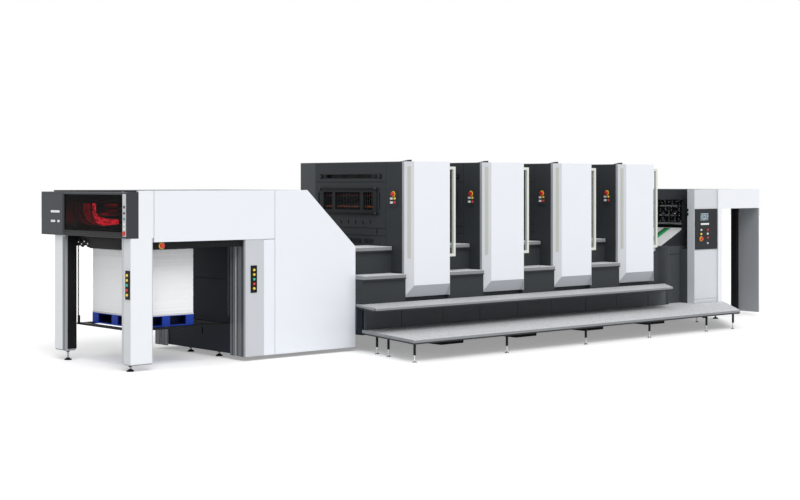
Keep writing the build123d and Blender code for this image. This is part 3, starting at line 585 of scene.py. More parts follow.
def skin_group() -> bpy.types.NodeTree:
    """Build the shared skin: slow mottle, fine grain, and the gloss they leave.

    Returns:
        The group, made on the first call.
    """
    if "skin" in bpy.data.node_groups:
        return bpy.data.node_groups["skin"]
    mottle_scale, mottle_detail, gloss_swing = 1.7, 4.0, 0.8
    tree, given, made = new_group(
        "skin",
        {"Vector": "Vector", "Colour": "Color", "Mottle": "Float", "Grain": "Float", "Gloss": "Float"},
        {"Colour": "Color", "Roughness": "Float", "Height": "Float"})
    vector, mottle = given.outputs["Vector"], given.outputs["Mottle"]
    slow = tree.noise(vector, mottle_scale, mottle_detail)
    fine = tree.noise(vector, given.outputs["Grain"])
    swing = tree.math("MULTIPLY", tree.math("SUBTRACT", slow, 0.5), mottle)
    speck = tree.math("MULTIPLY", tree.math("SUBTRACT", fine, 0.5), mottle)
    shade = tree.math("ADD", tree.math("ADD", swing, speck), 1.0)
    grey = tree.add("ShaderNodeCombineColor")
    for socket in grey.inputs:
        tree.join(shade, socket)
    gloss = tree.math("ADD", given.outputs["Gloss"], tree.math("MULTIPLY", swing, gloss_swing))
    tree.join(tree.mix(1.0, given.outputs["Colour"], grey.outputs[0], "MULTIPLY"), made.inputs["Colour"])
    tree.join(gloss, made.inputs["Roughness"])
    tree.join(fine, made.inputs["Height"])
    return tree.tree


def edge_group() -> bpy.types.NodeTree:
    """Build the shared eased edges: a rounded normal and a mask of the corners.

    Returns:
        The group, made on the first call.
    """
    if "eased_edge" in bpy.data.node_groups:
        return bpy.data.node_groups["eased_edge"]
    samples, corner_turn = 4, (0.75, 0.99)
    tree, given, made = new_group("eased_edge", {"Radius": "Float"}, {"Normal": "Vector", "Edge": "Float"})
    bevel = tree.add("ShaderNodeBevel", samples=samples)
    tree.join(given.outputs["Radius"], bevel.inputs["Radius"])
    facing = tree.add("ShaderNodeNewGeometry")
    turn = tree.add("ShaderNodeVectorMath", operation="DOT_PRODUCT")
    tree.join(bevel.outputs["Normal"], turn.inputs[0])
    tree.join(facing.outputs["True Normal"], turn.inputs[1])
    tree.join(bevel.outputs["Normal"], made.inputs["Normal"])
    tree.join(tree.below(turn.outputs["Value"], *corner_turn), made.inputs["Edge"])
    return tree.tree


@dataclass(frozen=True)
class Finish:
    """A painted or moulded surface with mottle, grain and eased, worn edges."""

    name: str
    colour: Colour
    roughness: float = 0.45
    metallic: float = 0.0
    mottle: float = 0.05
    grain: float = 400.0
    bump: float = 0.02
    edge: float = 0.004
    wear: float = 0.25
    coat: float = 0.0
    specular: float = 0.5

    def material(self) -> bpy.types.Material:
        """Build the material on the first call.

        Returns:
            The material.
        """
        known = bpy.data.materials.get(self.name)
        if known:
            return known
        material = bpy.data.materials.new(self.name)
        material.use_nodes = True
        self.paint(Tree(material.node_tree), material.node_tree.nodes["Principled BSDF"])
        return material

    def paint(self, tree: Tree, shader: Node) -> None:
        """Join the shared skin and edges to the shader."""
        self.finish(tree, shader, tree.place(), self.colour)

    def finish(self, tree: Tree, shader: Node, place: Socket, colour: Value,
               height: Socket | None = None) -> None:
        """Wire colour, gloss and normal from the shared groups.

        Args:
            tree: The material's tree.
            shader: Its Principled shader.
            place: Coordinates of the pattern.
            colour: A colour, or a socket with a pattern of colours.
            height: Relief that takes the place of the skin's own grain.
        """
        worn_gain, bump_unit = (1.6, 1.6, 1.6), 0.01
        skin = tree.add("ShaderNodeGroup", node_tree=skin_group())
        tree.join(place, skin.inputs["Vector"])
        tree.feed(colour, skin.inputs["Colour"])
        skin.inputs["Mottle"].default_value = self.mottle
        skin.inputs["Grain"].default_value = self.grain
        skin.inputs["Gloss"].default_value = self.roughness
        edges = tree.add("ShaderNodeGroup", node_tree=edge_group())
        edges.inputs["Radius"].default_value = self.edge
        worn = tree.mix(1.0, skin.outputs["Colour"], worn_gain, "MULTIPLY")
        amount = tree.math("MULTIPLY", edges.outputs["Edge"], self.wear)
        tree.join(tree.mix(amount, skin.outputs["Colour"], worn), shader.inputs["Base Color"])
        tree.join(skin.outputs["Roughness"], shader.inputs["Roughness"])
        relief = tree.add("ShaderNodeBump")
        relief.inputs["Strength"].default_value = 1.0
        relief.inputs["Distance"].default_value = self.bump * bump_unit
        tree.join(height or skin.outputs["Height"], relief.inputs["Height"])
        tree.join(edges.outputs["Normal"], relief.inputs["Normal"])
        tree.join(relief.outputs["Normal"], shader.inputs["Normal"])
        shader.inputs["Metallic"].default_value = self.metallic
        shader.inputs["Coat Weight"].default_value = self.coat
        shader.inputs["Specular IOR Level"].default_value = self.specular


@dataclass(frozen=True)
class FacingShadePaint(Finish):
    """Paint with painted light and shade: fronts, bevels, ends and foot take lighter or darker colours by the
    way each face looks, and the grey bevels of the covers are partly their own grey paint.
    """

    bevel: Colour = (0.6, 0.6, 0.6)
    side: Colour = (0.5, 0.5, 0.5)
    foot: Colour = (0.5, 0.5, 0.5)
    stripe: float = 0.0
    stripe_edge: Span = (0.55, 0.7)
    stripe_shade: float = 0.3

    def paint(self, tree: Tree, shader: Node) -> None:
        """Choose the colour by the way that each face looks, which paints light and shade onto it.

        Args:
            tree: The material's tree.
            shader: Its Principled shader.
        """
        place = tree.place()
        facing = tree.facing()
        # Painted light and shade: faces that look forward, sideways and down each get their own colour.
        front = tree.below(facing["Y"], -SQUARE[1], -SQUARE[0])
        end = tree.above(tree.math("ABSOLUTE", facing["X"]), *SQUARE)
        under = tree.below(facing["Z"], *UNDERSIDE)
        side: Value = self.side
        # The stripes on the ends are painted shade: dark lines where grooves would lie in shade.
        if self.stripe:
            turns = tree.math("MULTIPLY", tree.parts(place)["Y"], 2 * math.pi / self.stripe)
            painted_groove_shade = tree.above(tree.math("SINE", turns), *self.stripe_edge)
            side = tree.mix(painted_groove_shade, self.side, shaded(self.side, self.stripe_shade))
        colour = tree.mix(end, tree.mix(front, self.bevel, self.colour), side)
        self.finish(tree, shader, place, tree.mix(under, colour, self.foot))


@dataclass(frozen=True)
class RecessShadePaint(Finish):
    """Paint with painted shade on the floors of seams, slots and vents, where recesses would lie in shade."""

    axis: Axis = Axis.Y
    level: float = 0.0
    start: float = 0.003
    limit: float = 0.02
    pitch: float = 0.0
    recess_shade: Colour = srgb(14, 15, 17)
    lit_lower: Colour | None = None
    lit_lower_top: float = 1.0

    def paint(self, tree: Tree, shader: Node) -> None:
        """Paint shade on faces that look outwards from a little below the level.

        With a pitch, the level repeats along the axis.

        Args:
            tree: The material's tree.
            shader: Its Principled shader.
        """
        place = tree.place()
        parts = tree.parts(place)
        depth = tree.math("SUBTRACT", parts[self.axis.value], self.level)
        if self.pitch:
            lead = self.pitch / 4
            moved = tree.math("FLOORED_MODULO", tree.math("ADD", depth, lead), self.pitch)
            depth = tree.math("SUBTRACT", moved, lead)
        # Painted shade: recess floors between start and limit take the dark shade colour.
        sunk = tree.band(depth, self.start, self.limit, SOFT)
        mask = tree.math("MULTIPLY", sunk, tree.below(tree.facing()[self.axis.value], *OUTWARD))
        colour: Value = self.colour
        # Painted light: below a given height the paint takes a lighter colour, making up for the shade that
        # falls there.
        if self.lit_lower:
            low = tree.below(parts["Z"], self.lit_lower_top, self.lit_lower_top + SOFT)
            colour = tree.mix(low, colour, self.lit_lower)
        self.finish(tree, shader, place, tree.mix(mask, colour, self.recess_shade))


@dataclass(frozen=True)
class HoodPaint(Finish):
    """Hood paint with a black lip under the window."""

    lip: Colour = srgb(17, 17, 19)
    lip_top: float = 1.362
    lip_ends: Span = (-0.2045, 0.9605)

    def paint(self, tree: Tree, shader: Node) -> None:
        """Take the lip's colour below the window, between its two ends.

        Args:
            tree: The material's tree.
            shader: Its Principled shader.
        """
        place = tree.place()
        parts = tree.parts(place)
        low = tree.below(parts["Z"], self.lip_top, self.lip_top + SOFT)
        mask = tree.math("MULTIPLY", low, tree.band(parts["Y"], *self.lip_ends, SOFT))
        self.finish(tree, shader, place, tree.mix(mask, self.colour, self.lip))


@dataclass(frozen=True)
class StripPaint(Finish):
    """Silver switch strip with its stop head in red on a yellow collar."""

    head: Colour = srgb(206, 34, 30)
    collar: Colour = srgb(238, 170, 40)
    stop: Size = (-4.972, -0.242, 1.35)
    head_radius: float = 0.0236
    collar_radius: float = 0.033
    proud_soft: float = 0.0002
    ring_soft: float = 0.0005

    def paint(self, tree: Tree, shader: Node) -> None:
        """Colour what stands proud by its distance from the stop's middle.

        Args:
            tree: The material's tree.
            shader: Its Principled shader.
        """
        place = tree.place()
        parts = tree.parts(place)
        face, *middle = self.stop
        across = [tree.math("SUBTRACT", parts[axis], value) for axis, value in zip("YZ", middle)]
        square = [tree.math("MULTIPLY", value, value) for value in across]
        reach = tree.math("SQRT", tree.math("ADD", *square))
        proud = tree.below(parts["X"], face, face + self.proud_soft)
        colour: Value = self.colour
        for radius, paint in ((self.collar_radius, self.collar), (self.head_radius, self.head)):
            disc = tree.below(reach, radius, radius + self.ring_soft)
            colour = tree.mix(tree.math("MULTIPLY", proud, disc), colour, paint)
        self.finish(tree, shader, place, colour)


@dataclass(frozen=True)
class TreadMetal(Finish):
    """Light walkway sheet with a gritty top, painted shade on its upright noses, and a band of darker painted
    shade low on the noses.
    """

    stud_pitch: float = 0.022
    stud_scatter: float = 0.35
    stud_edge: Span = (0.15, 0.5)
    stud_shade: float = 0.2
    scuff: Colour = srgb(158, 160, 162)
    scuff_noise: Span = (45.0, 6.0)
    scuff_edge: Span = (0.4, 0.68)
    scuff_share: float = 0.55
    nose_shade: Colour = srgb(140, 142, 145)
    nose_edge: Span = (0.5, 0.9)
    low_nose_shade: Colour = srgb(44, 47, 50)
    low_nose_shade_feet: tuple[float, ...] = (0.192, 0.477, 0.772, 1.072)
    low_nose_shade_height: float = 0.015

    def paint(self, tree: Tree, shader: Node) -> None:
        """Raise a stud in each cell with painted shade round it, scuff by noise, and paint shade on upright
        faces, darkest in a band low on the noses.

        Args:
            tree: The material's tree.
            shader: Its Principled shader.
        """
        place = tree.place()
        cells = tree.add("ShaderNodeTexVoronoi", feature="F1")
        cells.inputs["Scale"].default_value = 1 / self.stud_pitch
        cells.inputs["Randomness"].default_value = self.stud_scatter
        tree.join(place, cells.inputs["Vector"])
        stud = tree.below(cells.outputs["Distance"], *self.stud_edge)
        scuffs = tree.range(tree.noise(place, *self.scuff_noise), 0.0, self.scuff_share, *self.scuff_edge)
        pale = tree.mix(scuffs, self.colour, self.scuff)
        # Painted shade between the studs.
        shadow = tree.math("MULTIPLY", tree.math("SUBTRACT", 1.0, stud), self.stud_shade)
        top = tree.mix(shadow, pale, self.scuff)
        flat = tree.above(tree.facing()["Z"], *self.nose_edge)
        height = tree.parts(place)["Z"]
        # Painted shade: upright faces take a darker colour, and a band just above each listed height takes a
        # darker one still.
        edge: Value = self.nose_shade
        for foot in self.low_nose_shade_feet:
            edge = tree.mix(tree.band(height, foot - SOFT, foot + self.low_nose_shade_height, SOFT), edge, self.low_nose_shade)
        self.finish(tree, shader, place, tree.mix(flat, edge, top), stud)


@dataclass(frozen=True)
class BrushedMetal(Finish):
    """Metal with fine lines drawn out along one axis."""

    stretch: Size = (40.0, 2.0, 40.0)
    line_noise: Span = (12.0, 4.0)
    line_shade: float = 0.6

    def paint(self, tree: Tree, shader: Node) -> None:
        """Squeeze a noise across the brushing so that it becomes lines.

        Args:
            tree: The material's tree.
            shader: Its Principled shader.
        """
        place = tree.place()
        lines = tree.noise(tree.stretched(place, self.stretch), *self.line_noise)
        colour = tree.mix(lines, shaded(self.colour, self.line_shade), self.colour)
        self.finish(tree, shader, place, colour, lines)


@dataclass(frozen=True)
class PaperEdge(Finish):
    """The cut edges of a pile of sheets: fine lines with a darker one here and there."""

    sheet: float = 0.004
    sheet_drift: float = 0.35
    sheet_noise: Span = (0.55, 3.0)
    sheet_edge: Span = (0.4, 0.75)
    sheet_share: float = 0.1
    ream_stretch: Size = (0.3, 0.3, 22.0)
    ream_noise: Span = (1.0, 0.0)
    ream_edge: Span = (0.6, 0.72)
    ream_share: float = 0.12
    line_shade: float = 0.72

    def paint(self, tree: Tree, shader: Node) -> None:
        """Draw lines by height, uneven in strength, so that single layers show.

        Args:
            tree: The material's tree.
            shader: Its Principled shader.
        """
        place = tree.place()
        flat = tree.stretched(place, (self.sheet_drift, self.sheet_drift, 1 / self.sheet))
        layer = tree.noise(flat, *self.sheet_noise)
        ream = tree.noise(tree.stretched(place, self.ream_stretch), *self.ream_noise)
        darker = tree.math("MULTIPLY", tree.above(ream, *self.ream_edge), self.ream_share)
        lines = tree.math("ADD", tree.range(layer, 0.0, self.sheet_share, *self.sheet_edge), darker)
        colour = tree.mix(lines, self.colour, shaded(self.colour, self.line_shade))
        self.finish(tree, shader, place, colour, layer)


@dataclass(frozen=True)
class PalletPlastic(Finish):
    """Moulded plastic with painted shade inside its fork pockets, under a pale cover board."""

    low: Size = (0.0, 0.0, 0.0)
    high: Size = (0.0, 0.0, 0.0)
    skin: float = 0.012
    skin_soft: float = 0.01
    inside_shade: float = 0.12
    board: Colour = srgb(214, 216, 220)
    board_depth: float = 0.018

    def paint(self, tree: Tree, shader: Node) -> None:
        """Paint shade on what lies deeper than the skin inside the pallet's own box.

        Args:
            tree: The material's tree.
            shader: Its Principled shader.
        """
        place = tree.place()
        # Painted shade: deeper than the skin, the plastic takes a darker copy of its colour.
        inside: Value = 1.0
        for part, low, high in zip(tree.parts(place), self.low, self.high):
            depth = tree.band(part, low + self.skin, high - self.skin, self.skin_soft)
            inside = tree.math("MULTIPLY", inside, depth)
        foot = self.high[2] - self.board_depth
        above = tree.above(tree.parts(place)["Z"], foot, foot + SOFT)
        plastic = tree.mix(inside, self.colour, shaded(self.colour, self.inside_shade))
        self.finish(tree, shader, place, tree.mix(above, plastic, self.board))


@dataclass(frozen=True)
class RollerRubber(Finish):
    """Black inked rollers with a painted highlight along each one, red above and copper below, tinted like
    their inking.
    """

    # Painted highlights: the height and colour of the band on each roller.
    highlight_bands: tuple[tuple[float, Colour], ...] = ((1.702, srgb(150, 44, 34)), (1.571, srgb(206, 118, 66)))
    highlight_half: float = 0.006
    highlight_noise: Span = (14.0, 3.0)
    highlight_edge: Span = (0.35, 0.6)
    highlight_least: float = 0.55

    def paint(self, tree: Tree, shader: Node) -> None:
        """Lay a broken band of painted highlight at the height of each roller's middle.

        Args:
            tree: The material's tree.
            shader: Its Principled shader.
        """
        place = tree.place()
        height = tree.parts(place)["Z"]
        broken = tree.range(tree.noise(place, *self.highlight_noise), self.highlight_least, 1.0, *self.highlight_edge)
        colour: Value = self.colour
        for middle, ink_highlight in self.highlight_bands:
            band = tree.band(height, middle - self.highlight_half, middle + self.highlight_half, self.highlight_half)
            colour = tree.mix(tree.math("MULTIPLY", band, broken), colour, ink_highlight)
        self.finish(tree, shader, place, colour)


@dataclass(frozen=True)
class SmokedGlass(Finish):
    """Dark glass that lets the red lamps inside show."""

    haze: float = 0.04
    haze_noise: Span = (9.0, 3.0)
    tint_scale: float = 3.0
    tint_shade: float = 0.8
    bend: float = 1.08

    def paint(self, tree: Tree, shader: Node) -> None:
        """Tint the glass unevenly and keep it clear.

        Args:
            tree: The material's tree.
            shader: Its Principled shader.
        """
        place = tree.place()
        haze = tree.range(tree.noise(place, *self.haze_noise), self.roughness, self.roughness + self.haze)
        tree.join(haze, shader.inputs["Roughness"])
        tint = tree.mix(tree.noise(place, self.tint_scale), shaded(self.colour, self.tint_shade), self.colour)
        tree.join(tint, shader.inputs["Base Color"])
        shader.inputs["Transmission Weight"].default_value = 1.0
        shader.inputs["IOR"].default_value = self.bend


@dataclass(frozen=True)
class Lamp(Finish):
    """A lit surface whose glow fades in and out over it."""

    glow: float = 0.25
    patch: float = 6.0
    patch_detail: float = 3.0
    patch_edge: Span = (0.36, 0.64)
    dim: float = 0.22

    def paint(self, tree: Tree, shader: Node) -> None:
        """Light the surface in soft patches.

        Args:
            tree: The material's tree.
            shader: Its Principled shader.
        """
        place = tree.place()
        self.finish(tree, shader, place, self.colour)
        patches = tree.above(tree.noise(place, self.patch, self.patch_detail), *self.patch_edge)
        lit = tree.mix(patches, shaded(self.colour, self.dim), self.colour)
        tree.join(lit, shader.inputs["Emission Color"])
        shader.inputs["Emission Strength"].default_value = self.glow


@dataclass(frozen=True)
class Screen(Finish):
    """A display with rows of plain marks."""

    mark: Colour = srgb(176, 190, 196)
    mark_rate: float = 60.0
    mark_edge: Span = (0.47, 0.53)
    row: float = 0.021
    row_edge: Span = (0.1, 0.4)
    glow: float = 0.25

    def paint(self, tree: Tree, shader: Node) -> None:
        """Break rows, spaced by height, with a noise along each of them.

        Args:
            tree: The material's tree.
            shader: Its Principled shader.
        """
        place = tree.place()
        turns = tree.math("MULTIPLY", tree.parts(place)["Z"], 2 * math.pi / self.row)
        rows = tree.above(tree.math("SINE", turns), *self.row_edge)
        along = tree.stretched(place, (self.mark_rate, 1.0, 1 / self.row))
        breaks = tree.above(tree.noise(along, 1.0, 1.0), *self.mark_edge)
        picture = tree.mix(tree.math("MULTIPLY", rows, breaks), self.colour, self.mark)
        self.finish(tree, shader, place, picture)
        tree.join(picture, shader.inputs["Emission Color"])
        shader.inputs["Emission Strength"].default_value = self.glow


# Values that several finishes share.
GLOSSY = {"roughness": 0.35, "mottle": 0.015, "coat": 0.2, "wear": 0.1}
SATIN = {"roughness": 0.4, "mottle": 0.04, "wear": 0.1}
ENAMEL = {"roughness": 0.5, "mottle": 0.1, "grain": 900, "bump": 0.05, "wear": 0.2, "specular": 0.15}
DULL_ENAMEL = ENAMEL | {"specular": 0.12}
HOUSING = {"roughness": 0.4, "mottle": 0.06, "grain": 900, "bump": 0.04, "specular": 0.2}
INNER = {"mottle": 0.15, "grain": 700, "bump": 0.05}
SHEET = {"roughness": 0.6, "mottle": 0.05, "bump": 0.08, "wear": 0.1, "specular": 0.3}
LAMP_CAP = {"roughness": 0.25}


@dataclass(frozen=True)
class Finishes:
    """Every finish of the press, named by what it covers."""

    # The seam floors of the white panels take a grey painted shade.
    white: Finish = RecessShadePaint("white_panel_paint", srgb(237, 241, 247), **GLOSSY,
                                level=-0.2915, recess_shade=srgb(120, 124, 130))
    # The post, far post, cover, column and end column paints carry painted light and shade: lit and shaded
    # copies of one paint on fronts, bevels, ends and foot.
    post: Finish = FacingShadePaint("white_post_paint", srgb(238, 241, 246), **GLOSSY, bevel=srgb(214, 217, 221),
                              side=srgb(212, 215, 219), foot=srgb(160, 163, 168))
    trim: Finish = Finish("post_trim", srgb(116, 119, 123), **SATIN)
    pale_trim: Finish = Finish("pale_post_trim", srgb(196, 199, 203), **SATIN)
    far_post: Finish = FacingShadePaint("far_post_paint", srgb(172, 174, 178), 0.4, mottle=0.02, wear=0.1,
                                  bevel=srgb(206, 209, 212), side=srgb(228, 231, 235),
                                  foot=srgb(120, 122, 125))
    cover: Finish = FacingShadePaint("tower_cover_paint", srgb(237, 241, 247), **GLOSSY, bevel=srgb(207, 210, 214),
                               side=srgb(176, 179, 184), foot=srgb(182, 186, 192))
    # The column's end stripes are painted groove shade.
    silver: Finish = FacingShadePaint("column_grey_paint", srgb(202, 205, 210), 0.4, mottle=0.03, wear=0.15,
                                specular=0.3, bevel=srgb(150, 152, 156), side=srgb(114, 117, 121),
                                foot=srgb(80, 82, 85), stripe=0.088)
    strip: Finish = StripPaint("switch_strip_silver", srgb(196, 198, 201), 0.35, metallic=0.3,
                               mottle=0.04, wear=0.1)
    cabinet: Finish = Finish("cabinet_grey_paint", srgb(213, 217, 222), 0.4, mottle=0.02, wear=0.15)
    charcoal: Finish = Finish("charcoal_enamel", srgb(56, 60, 63), **ENAMEL)
    # The towers' slots, vents and seams take black painted shade up to 0.2 m deep, repeating at every tower.
    tower: Finish = RecessShadePaint("tower_paint", srgb(58, 62, 65), **ENAMEL, axis=Axis.X,
                                level=-1.4605, limit=0.2, pitch=1.22)
    guard: Finish = Finish("guard_enamel", srgb(38, 40, 43), **ENAMEL)
    # The skirt's seams take painted shade.
    skirt: Finish = RecessShadePaint("skirt_paint", srgb(86, 90, 94), **ENAMEL)
    skirt_end: Finish = Finish("skirt_return_enamel", srgb(86, 90, 94), **ENAMEL)
    drive: Finish = Finish("drive_cover_enamel", srgb(82, 86, 89), **ENAMEL)
    # The end column's ends are lighter as painted light, making up for the shade that falls on them.
    corner: Finish = FacingShadePaint("end_column_enamel", srgb(58, 62, 65), **ENAMEL, bevel=srgb(76, 80, 84),
                                side=srgb(92, 96, 100), foot=srgb(40, 42, 44))
    # The infeed's lower part is lighter as painted light, making up for the shade cast by the end column and
    # cabinet.
    infeed: Finish = RecessShadePaint("infeed_enamel", srgb(44, 47, 50), **DULL_ENAMEL, lit_lower=srgb(74, 78, 82))
    wall: Finish = Finish("feeder_wall_enamel", srgb(74, 78, 82), **DULL_ENAMEL)
    hood: Finish = HoodPaint("hood_paint", srgb(57, 60, 65), **HOUSING)
    panel: Finish = Finish("key_panel_paint", srgb(60, 63, 68), **HOUSING)
    console: Finish = Finish("console_paint", srgb(40, 42, 44), 0.45, mottle=0.08, grain=900, bump=0.04,
                             specular=0.15)
    navy: Finish = Finish("dark_inner_paint", srgb(27, 33, 43), 0.55, **INNER, specular=0.12)
    black: Finish = Finish("black_paint", srgb(20, 21, 23), 0.5, **INNER, specular=0.15)
    tread: Finish = TreadMetal("walkway_sheet", srgb(233, 235, 237), **SHEET)
    step: Finish = TreadMetal("step_sheet", srgb(246, 248, 250), **SHEET, scuff=srgb(176, 178, 180))
    board_tread: Finish = TreadMetal("running_sheet", srgb(212, 214, 216), **SHEET, scuff=srgb(148, 150, 152))
    rail: Finish = Finish("rail_enamel", srgb(224, 227, 218), **SATIN)
    grip: Finish = Finish("grip_paint", srgb(188, 191, 182), 0.45, mottle=0.05, wear=0.1)
    steel: Finish = BrushedMetal("brushed_steel", srgb(190, 192, 195), 0.32, metallic=1.0, mottle=0.1)
    chrome: Finish = BrushedMetal("bright_steel", srgb(222, 224, 226), 0.18, metallic=1.0, bump=0.01)
    dark_steel: Finish = BrushedMetal("blued_steel", srgb(70, 72, 76), 0.38, metallic=0.8, mottle=0.2)
    rubber: Finish = RollerRubber("inked_rollers", srgb(20, 17, 17), 0.35, mottle=0.15, specular=0.2)
    glass: Finish = SmokedGlass("red_smoked_glass", srgb(104, 96, 99), 0.02)
    pallet: Finish = PalletPlastic("moulded_blue", srgb(26, 60, 164), 0.5, mottle=0.15, grain=250, bump=0.1,
                                   wear=0.15, specular=0.25)
    paper: Finish = PaperEdge("paper_edges", srgb(253, 254, 255), 0.75, mottle=0.015, wear=0.0, edge=0.001)
    board: Finish = Finish("feed_board_sheet", srgb(250, 251, 251), 0.3, mottle=0.04, coat=0.2)
    green: Finish = Finish("feed_tape", srgb(28, 158, 84), 0.5, mottle=0.1, grain=1200, bump=0.06)
    end_grey: Finish = Finish("feeder_grey_paint", srgb(156, 160, 164), 0.4)
    iron: Finish = Finish("cast_pad", srgb(30, 31, 33), 0.6, mottle=0.25, grain=120, bump=0.4, specular=0.2)
    key: Finish = Finish("white_key", srgb(240, 241, 242), 0.35, mottle=0.03, edge=0.001)
    red: Finish = Finish("stop_red", srgb(206, 34, 30), 0.3, mottle=0.06, coat=0.4, edge=0.001)
    yellow: Finish = Finish("stop_yellow", srgb(238, 190, 48), 0.4, edge=0.001)
    lamp_yellow: Finish = Lamp("lamp_yellow", srgb(240, 206, 70), **LAMP_CAP)
    lamp_green: Finish = Lamp("lamp_green", srgb(64, 190, 150), **LAMP_CAP)
    lamp_red: Finish = Lamp("lamp_red", srgb(214, 60, 52), **LAMP_CAP)
    teal: Finish = Finish("key_teal", srgb(40, 120, 130), 0.35, edge=0.001)
    screen: Finish = Screen("console_screen", srgb(92, 108, 116), 0.15, specular=0.2)
    glow: Finish = Lamp("red_lamp_glow", srgb(255, 40, 58), 0.4, glow=5.0, patch=45.0, dim=0.05)
    # Painted light: the guide, rims, plate and edge by the red lamp glow red, though none of them is a lamp.
    painted_red_light: Finish = Lamp("red_lit_guide", srgb(196, 18, 32), 0.5, glow=1.5, patch=22.0)
    painted_faint_red_light: Finish = Lamp("red_lit_rim", srgb(150, 16, 24), 0.5, glow=0.9, patch=9.0)


PAINTS = Finishes()


# Sub-assemblies


@dataclass
class StopButton:
    """An emergency stop: a yellow collar and a red mushroom head."""

    collar: float = 0.0345
    collar_reach: float = 0.0065
    collar_ease: float = 0.002
    collar_shares: Span = (0.98, 0.94)
    head: float = 0.0245
    reach: float = 0.0255
    rim: float = 0.006
    rim_rings: int = 6

    def shells(self, facing: Facing, origin: Point) -> tuple[Shell, Shell]:
        """Turn the collar and the head at one place.

        The collar narrows at its foot and top, and the head's flat top has a
        rim of a quarter circle.

        Args:
            facing: Direction that the button looks in.
            origin: Middle of its foot.

        Returns:
            The collar and the head.
        """
        foot, top = self.collar_shares
        collar = [(self.collar * foot, 0), (self.collar, self.collar_ease),
                  (self.collar, self.collar_reach - self.collar_ease), (self.collar * top, self.collar_reach)]
        turn = np.linspace(0, np.pi / 2, self.rim_rings)
        inner, neck = self.head - self.rim, self.reach - self.rim
        rim = zip(inner + self.rim * np.cos(turn), neck + self.rim * np.sin(turn))
        head = [(self.head, 0.0), (self.head, neck), *rim]
        return turned(collar, facing, origin), turned(head, facing, origin)

    def fit(self, names: tuple[str, str], facing: Facing, places: Sequence[Point]) -> None:
        """Fit stops at some places, as one piece of collars and one of heads.

        Args:
            names: Names of the two pieces.
            facing: Direction that the buttons look in.
            places: Middle of each one's foot.
        """
        collars, heads = zip(*[self.shells(facing, place) for place in places])
        make_piece(names[0], collars, PAINTS.yellow)
        make_piece(names[1], heads, PAINTS.red)


@dataclass
class RoundLamp:
    """A small push button with a domed cap."""

    radius: float = 0.014
    reach: float = 0.012
    dome: float = 0.0045
    dome_foot: float = 0.004
    dome_rings: int = 5
    lip: float = 0.0005
    sides: int = 16

    def shell(self, facing: Facing, origin: Point) -> Shell:
        """Turn a cap whose top is a flattened quarter ellipse.

        Args:
            facing: Direction that the button looks in.
            origin: Middle of its foot.

        Returns:
            The cap.
        """
        turn = np.linspace(0, np.pi / 2, self.dome_rings)
        heights = self.reach - self.dome_foot + self.dome * np.sin(turn)
        dome = zip(self.radius * np.cos(turn) + self.lip, heights)
        return turned([(self.radius, 0.0), *dome], facing, origin, self.sides)


@dataclass
class Studio:
    """Camera, floor and light of the photograph's plain white studio."""

    focal_pixels: float = 1485.178
    heading: float = 48.7228
    eye: Size = (-12.48851, -12.87554, 1.83717)
    horizon: float = 183.71
    sensor: float = 36.0
    sight: float = 200.0
    floor_reach: float = 60.0
    floor_grey: Colour = (0.9, 0.9, 0.9)
    floor_glow: float = 0.3
    white: Colour = (1.0, 1.0, 1.0)
    ambient: float = 0.6
    key_strength: float = 1.5
    key_angle: float = 35.0
    key_from: Size = (-0.3, -0.62, 0.72)

    def build(self) -> None:
        """Set up the camera, the lamp, the world and the floor."""
        self.place_camera()
        self.hang_lamp()
        self.fill_world()
        self.lay_floor()

    def place_camera(self) -> None:
        """Put the camera at the fitted eye, level, shifted to the horizon."""
        data = bpy.data.cameras.new("view")
        data.sensor_width = self.sensor
        data.lens = self.focal_pixels / IMAGE_WIDTH * self.sensor
        data.shift_y = -(IMAGE_HEIGHT / 2 - self.horizon) / IMAGE_WIDTH
        data.clip_end = self.sight
        camera = add_object("view", data)
        camera.location = self.eye
        camera.rotation_euler = (math.pi / 2, 0.0, math.radians(self.heading - 90))
        bpy.context.scene.camera = camera

    def hang_lamp(self) -> None:
        """Hang one broad lamp in front, to the left and above."""
        data = bpy.data.lights.new("key", "SUN")
        data.energy = self.key_strength
        data.angle = math.radians(self.key_angle)
        back = np.array(self.key_from) / np.linalg.norm(self.key_from)
        turn = math.atan2(back[1], back[0]) + math.pi / 2
        add_object("key", data).rotation_euler = (math.acos(back[2]), 0.0, turn)

    def fill_world(self) -> None:
        """Light evenly from all round, and show white to camera and mirrors."""
        world = bpy.data.worlds.new("studio")
        bpy.context.scene.world = world
        world.use_nodes = True
        tree = Tree(world.node_tree)
        shader = world.node_tree.nodes["Background"]
        path = tree.add("ShaderNodeLightPath").outputs
        seen = tree.math("MAXIMUM", path["Is Camera Ray"], path["Is Transmission Ray"])
        seen = tree.math("MAXIMUM", seen, path["Is Glossy Ray"])
        tree.feed(self.white, shader.inputs["Color"])
        tree.join(tree.range(seen, self.ambient, 1.0), shader.inputs["Strength"])

    def lay_floor(self) -> None:
        """Lay a pale floor that keeps the shadow and meets the white world."""
        reach = np.linspace(-self.floor_reach, self.floor_reach, 3)
        x, y = np.meshgrid(reach, reach)
        mesh = join_shells("floor", [lattice(np.stack([x, y, np.full_like(x, -SKIN)], -1))])
        material = bpy.data.materials.new("pale_floor")
        material.use_nodes = True
        mesh.materials.append(material)
        tree = Tree(material.node_tree)
        shader = material.node_tree.nodes["Principled BSDF"]
        for key, value in (("Base Color", self.floor_grey), ("Roughness", 1.0), ("Specular IOR Level", 0.0),
                           ("Emission Color", self.white)):
            tree.feed(value, shader.inputs[key])
        path = tree.add("ShaderNodeLightPath").outputs
        seen = tree.math("MAXIMUM", path["Is Camera Ray"], path["Is Glossy Ray"])
        tree.join(tree.range(seen, 0.0, self.floor_glow), shader.inputs["Emission Strength"])
        add_object("floor", mesh)


